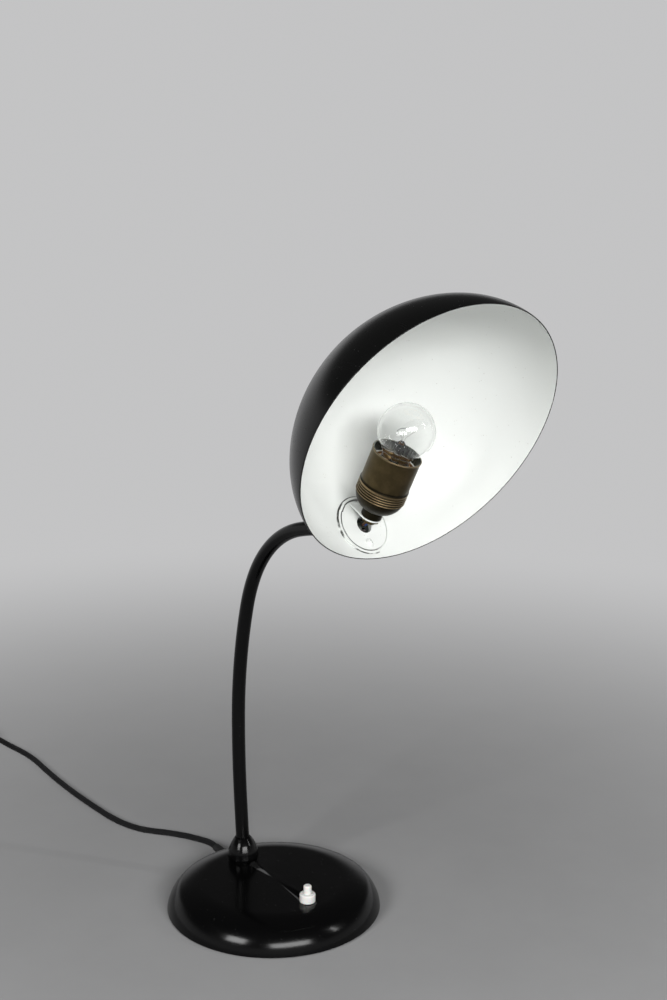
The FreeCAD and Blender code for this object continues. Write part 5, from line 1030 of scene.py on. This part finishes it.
# Studio: a plain pale floor that runs into a pale horizon, a dim room above it, and three soft windows: one on the
# left, a wide one behind the camera, and a narrow one on the right.
FLOOR = 40.0
HORIZON = colour(0.55, 0.55, 0.555)
LAMP_MIDDLE = 0.15


def window(name, azimuth, elevation, distance, size, power):
    """A soft light at an azimuth from +Y towards +X and an elevation, turned to the lamp's middle."""
    around_z, rise = math.radians(azimuth), math.radians(elevation)
    data = bpy.data.lights.new(name, "AREA")
    data.shape = "RECTANGLE"
    data.size, data.size_y = size
    data.energy = power
    light = bpy.data.objects.new(name, data)
    bpy.context.scene.collection.objects.link(light)
    flat = math.cos(rise)
    place = distance * Vector((math.sin(around_z) * flat, math.cos(around_z) * flat, math.sin(rise)))
    aim = (Vector((0, 0, LAMP_MIDDLE)) - place).to_track_quat("-Z", "Y")
    light.matrix_world = Matrix.Translation(place) @ aim.to_matrix().to_4x4()


def backdrop_rays(tree):
    """1 for the rays of the camera, of gloss and of glass, 0 for the light that falls on the lamp."""
    path = tree.nodes.new("ShaderNodeLightPath").outputs
    return maths(tree, "MAXIMUM", path["Is Camera Ray"], maths(tree, "MAXIMUM", path["Is Glossy Ray"],
                                                               path["Is Transmission Ray"]))


def floor_material():
    """Pale matt floor near the lamp, where it keeps the shadow; further off, what the camera, gloss and glass see of
    it goes over into the horizon's colour."""
    material, tree, shader, where = new_material("studio_floor", Roughness=0.8, Specular_IOR_Level=0.15)
    tone = blend_colours(tree, noise(tree, where, 9, 6, 0.6), colour(0.33, 0.33, 0.333), colour(0.38, 0.38, 0.383))
    feed(tree, shader, Base_Color=tone)
    flat = add(tree, "ShaderNodeVectorMath", {0: where}, operation="LENGTH").outputs["Value"]
    far = maths(tree, "MULTIPLY", ramp(tree, flat, 0.12, 1.45), backdrop_rays(tree))
    glow = add(tree, "ShaderNodeEmission", {"Color": HORIZON, "Strength": 1.0})
    mix = add(tree, "ShaderNodeMixShader", {0: far, 1: shader.outputs[0], 2: glow.outputs[0]})
    feed(tree, tree.nodes["Material Output"], Surface=mix.outputs[0])
    return material


floor_mesh = bpy.data.meshes.new("studio_floor")
floor_mesh.from_pydata([(-FLOOR, -FLOOR, 0), (FLOOR, -FLOOR, 0), (FLOOR, FLOOR, 0), (-FLOOR, FLOOR, 0)], [],
                       [(0, 1, 2, 3)])
floor = bpy.data.objects.new("studio_floor", floor_mesh)
bpy.context.scene.collection.objects.link(floor)
paint(floor, floor_material())
window("window_left", -104, 30, 2.6, (0.85, 0.65), 33)
window("window_front", -163, 25, 2.7, (1.85, 0.58), 61)
window("window_right", 142, 32, 2.6, (0.07, 0.6), 5)
world = bpy.data.worlds.new("studio_room")
bpy.context.scene.world = world
world.use_nodes = True
tree = world.node_tree
aim = tree.nodes.new("ShaderNodeTexCoord").outputs["Generated"]
height = add(tree, "ShaderNodeSeparateXYZ", {0: aim}).outputs["Z"]
near_horizon = maths(tree, "MULTIPLY", backdrop_rays(tree), ramp(tree, height, 0.16, 0.38, 1.0, 0.0))
feed(tree, tree.nodes["Background"], Color=blend_colours(tree, near_horizon, colour(0.07, 0.07, 0.07), HORIZON))
tree.nodes["Background"].inputs["Strength"].default_value = 1.0
bpy.context.scene.view_settings.view_transform = "Standard"
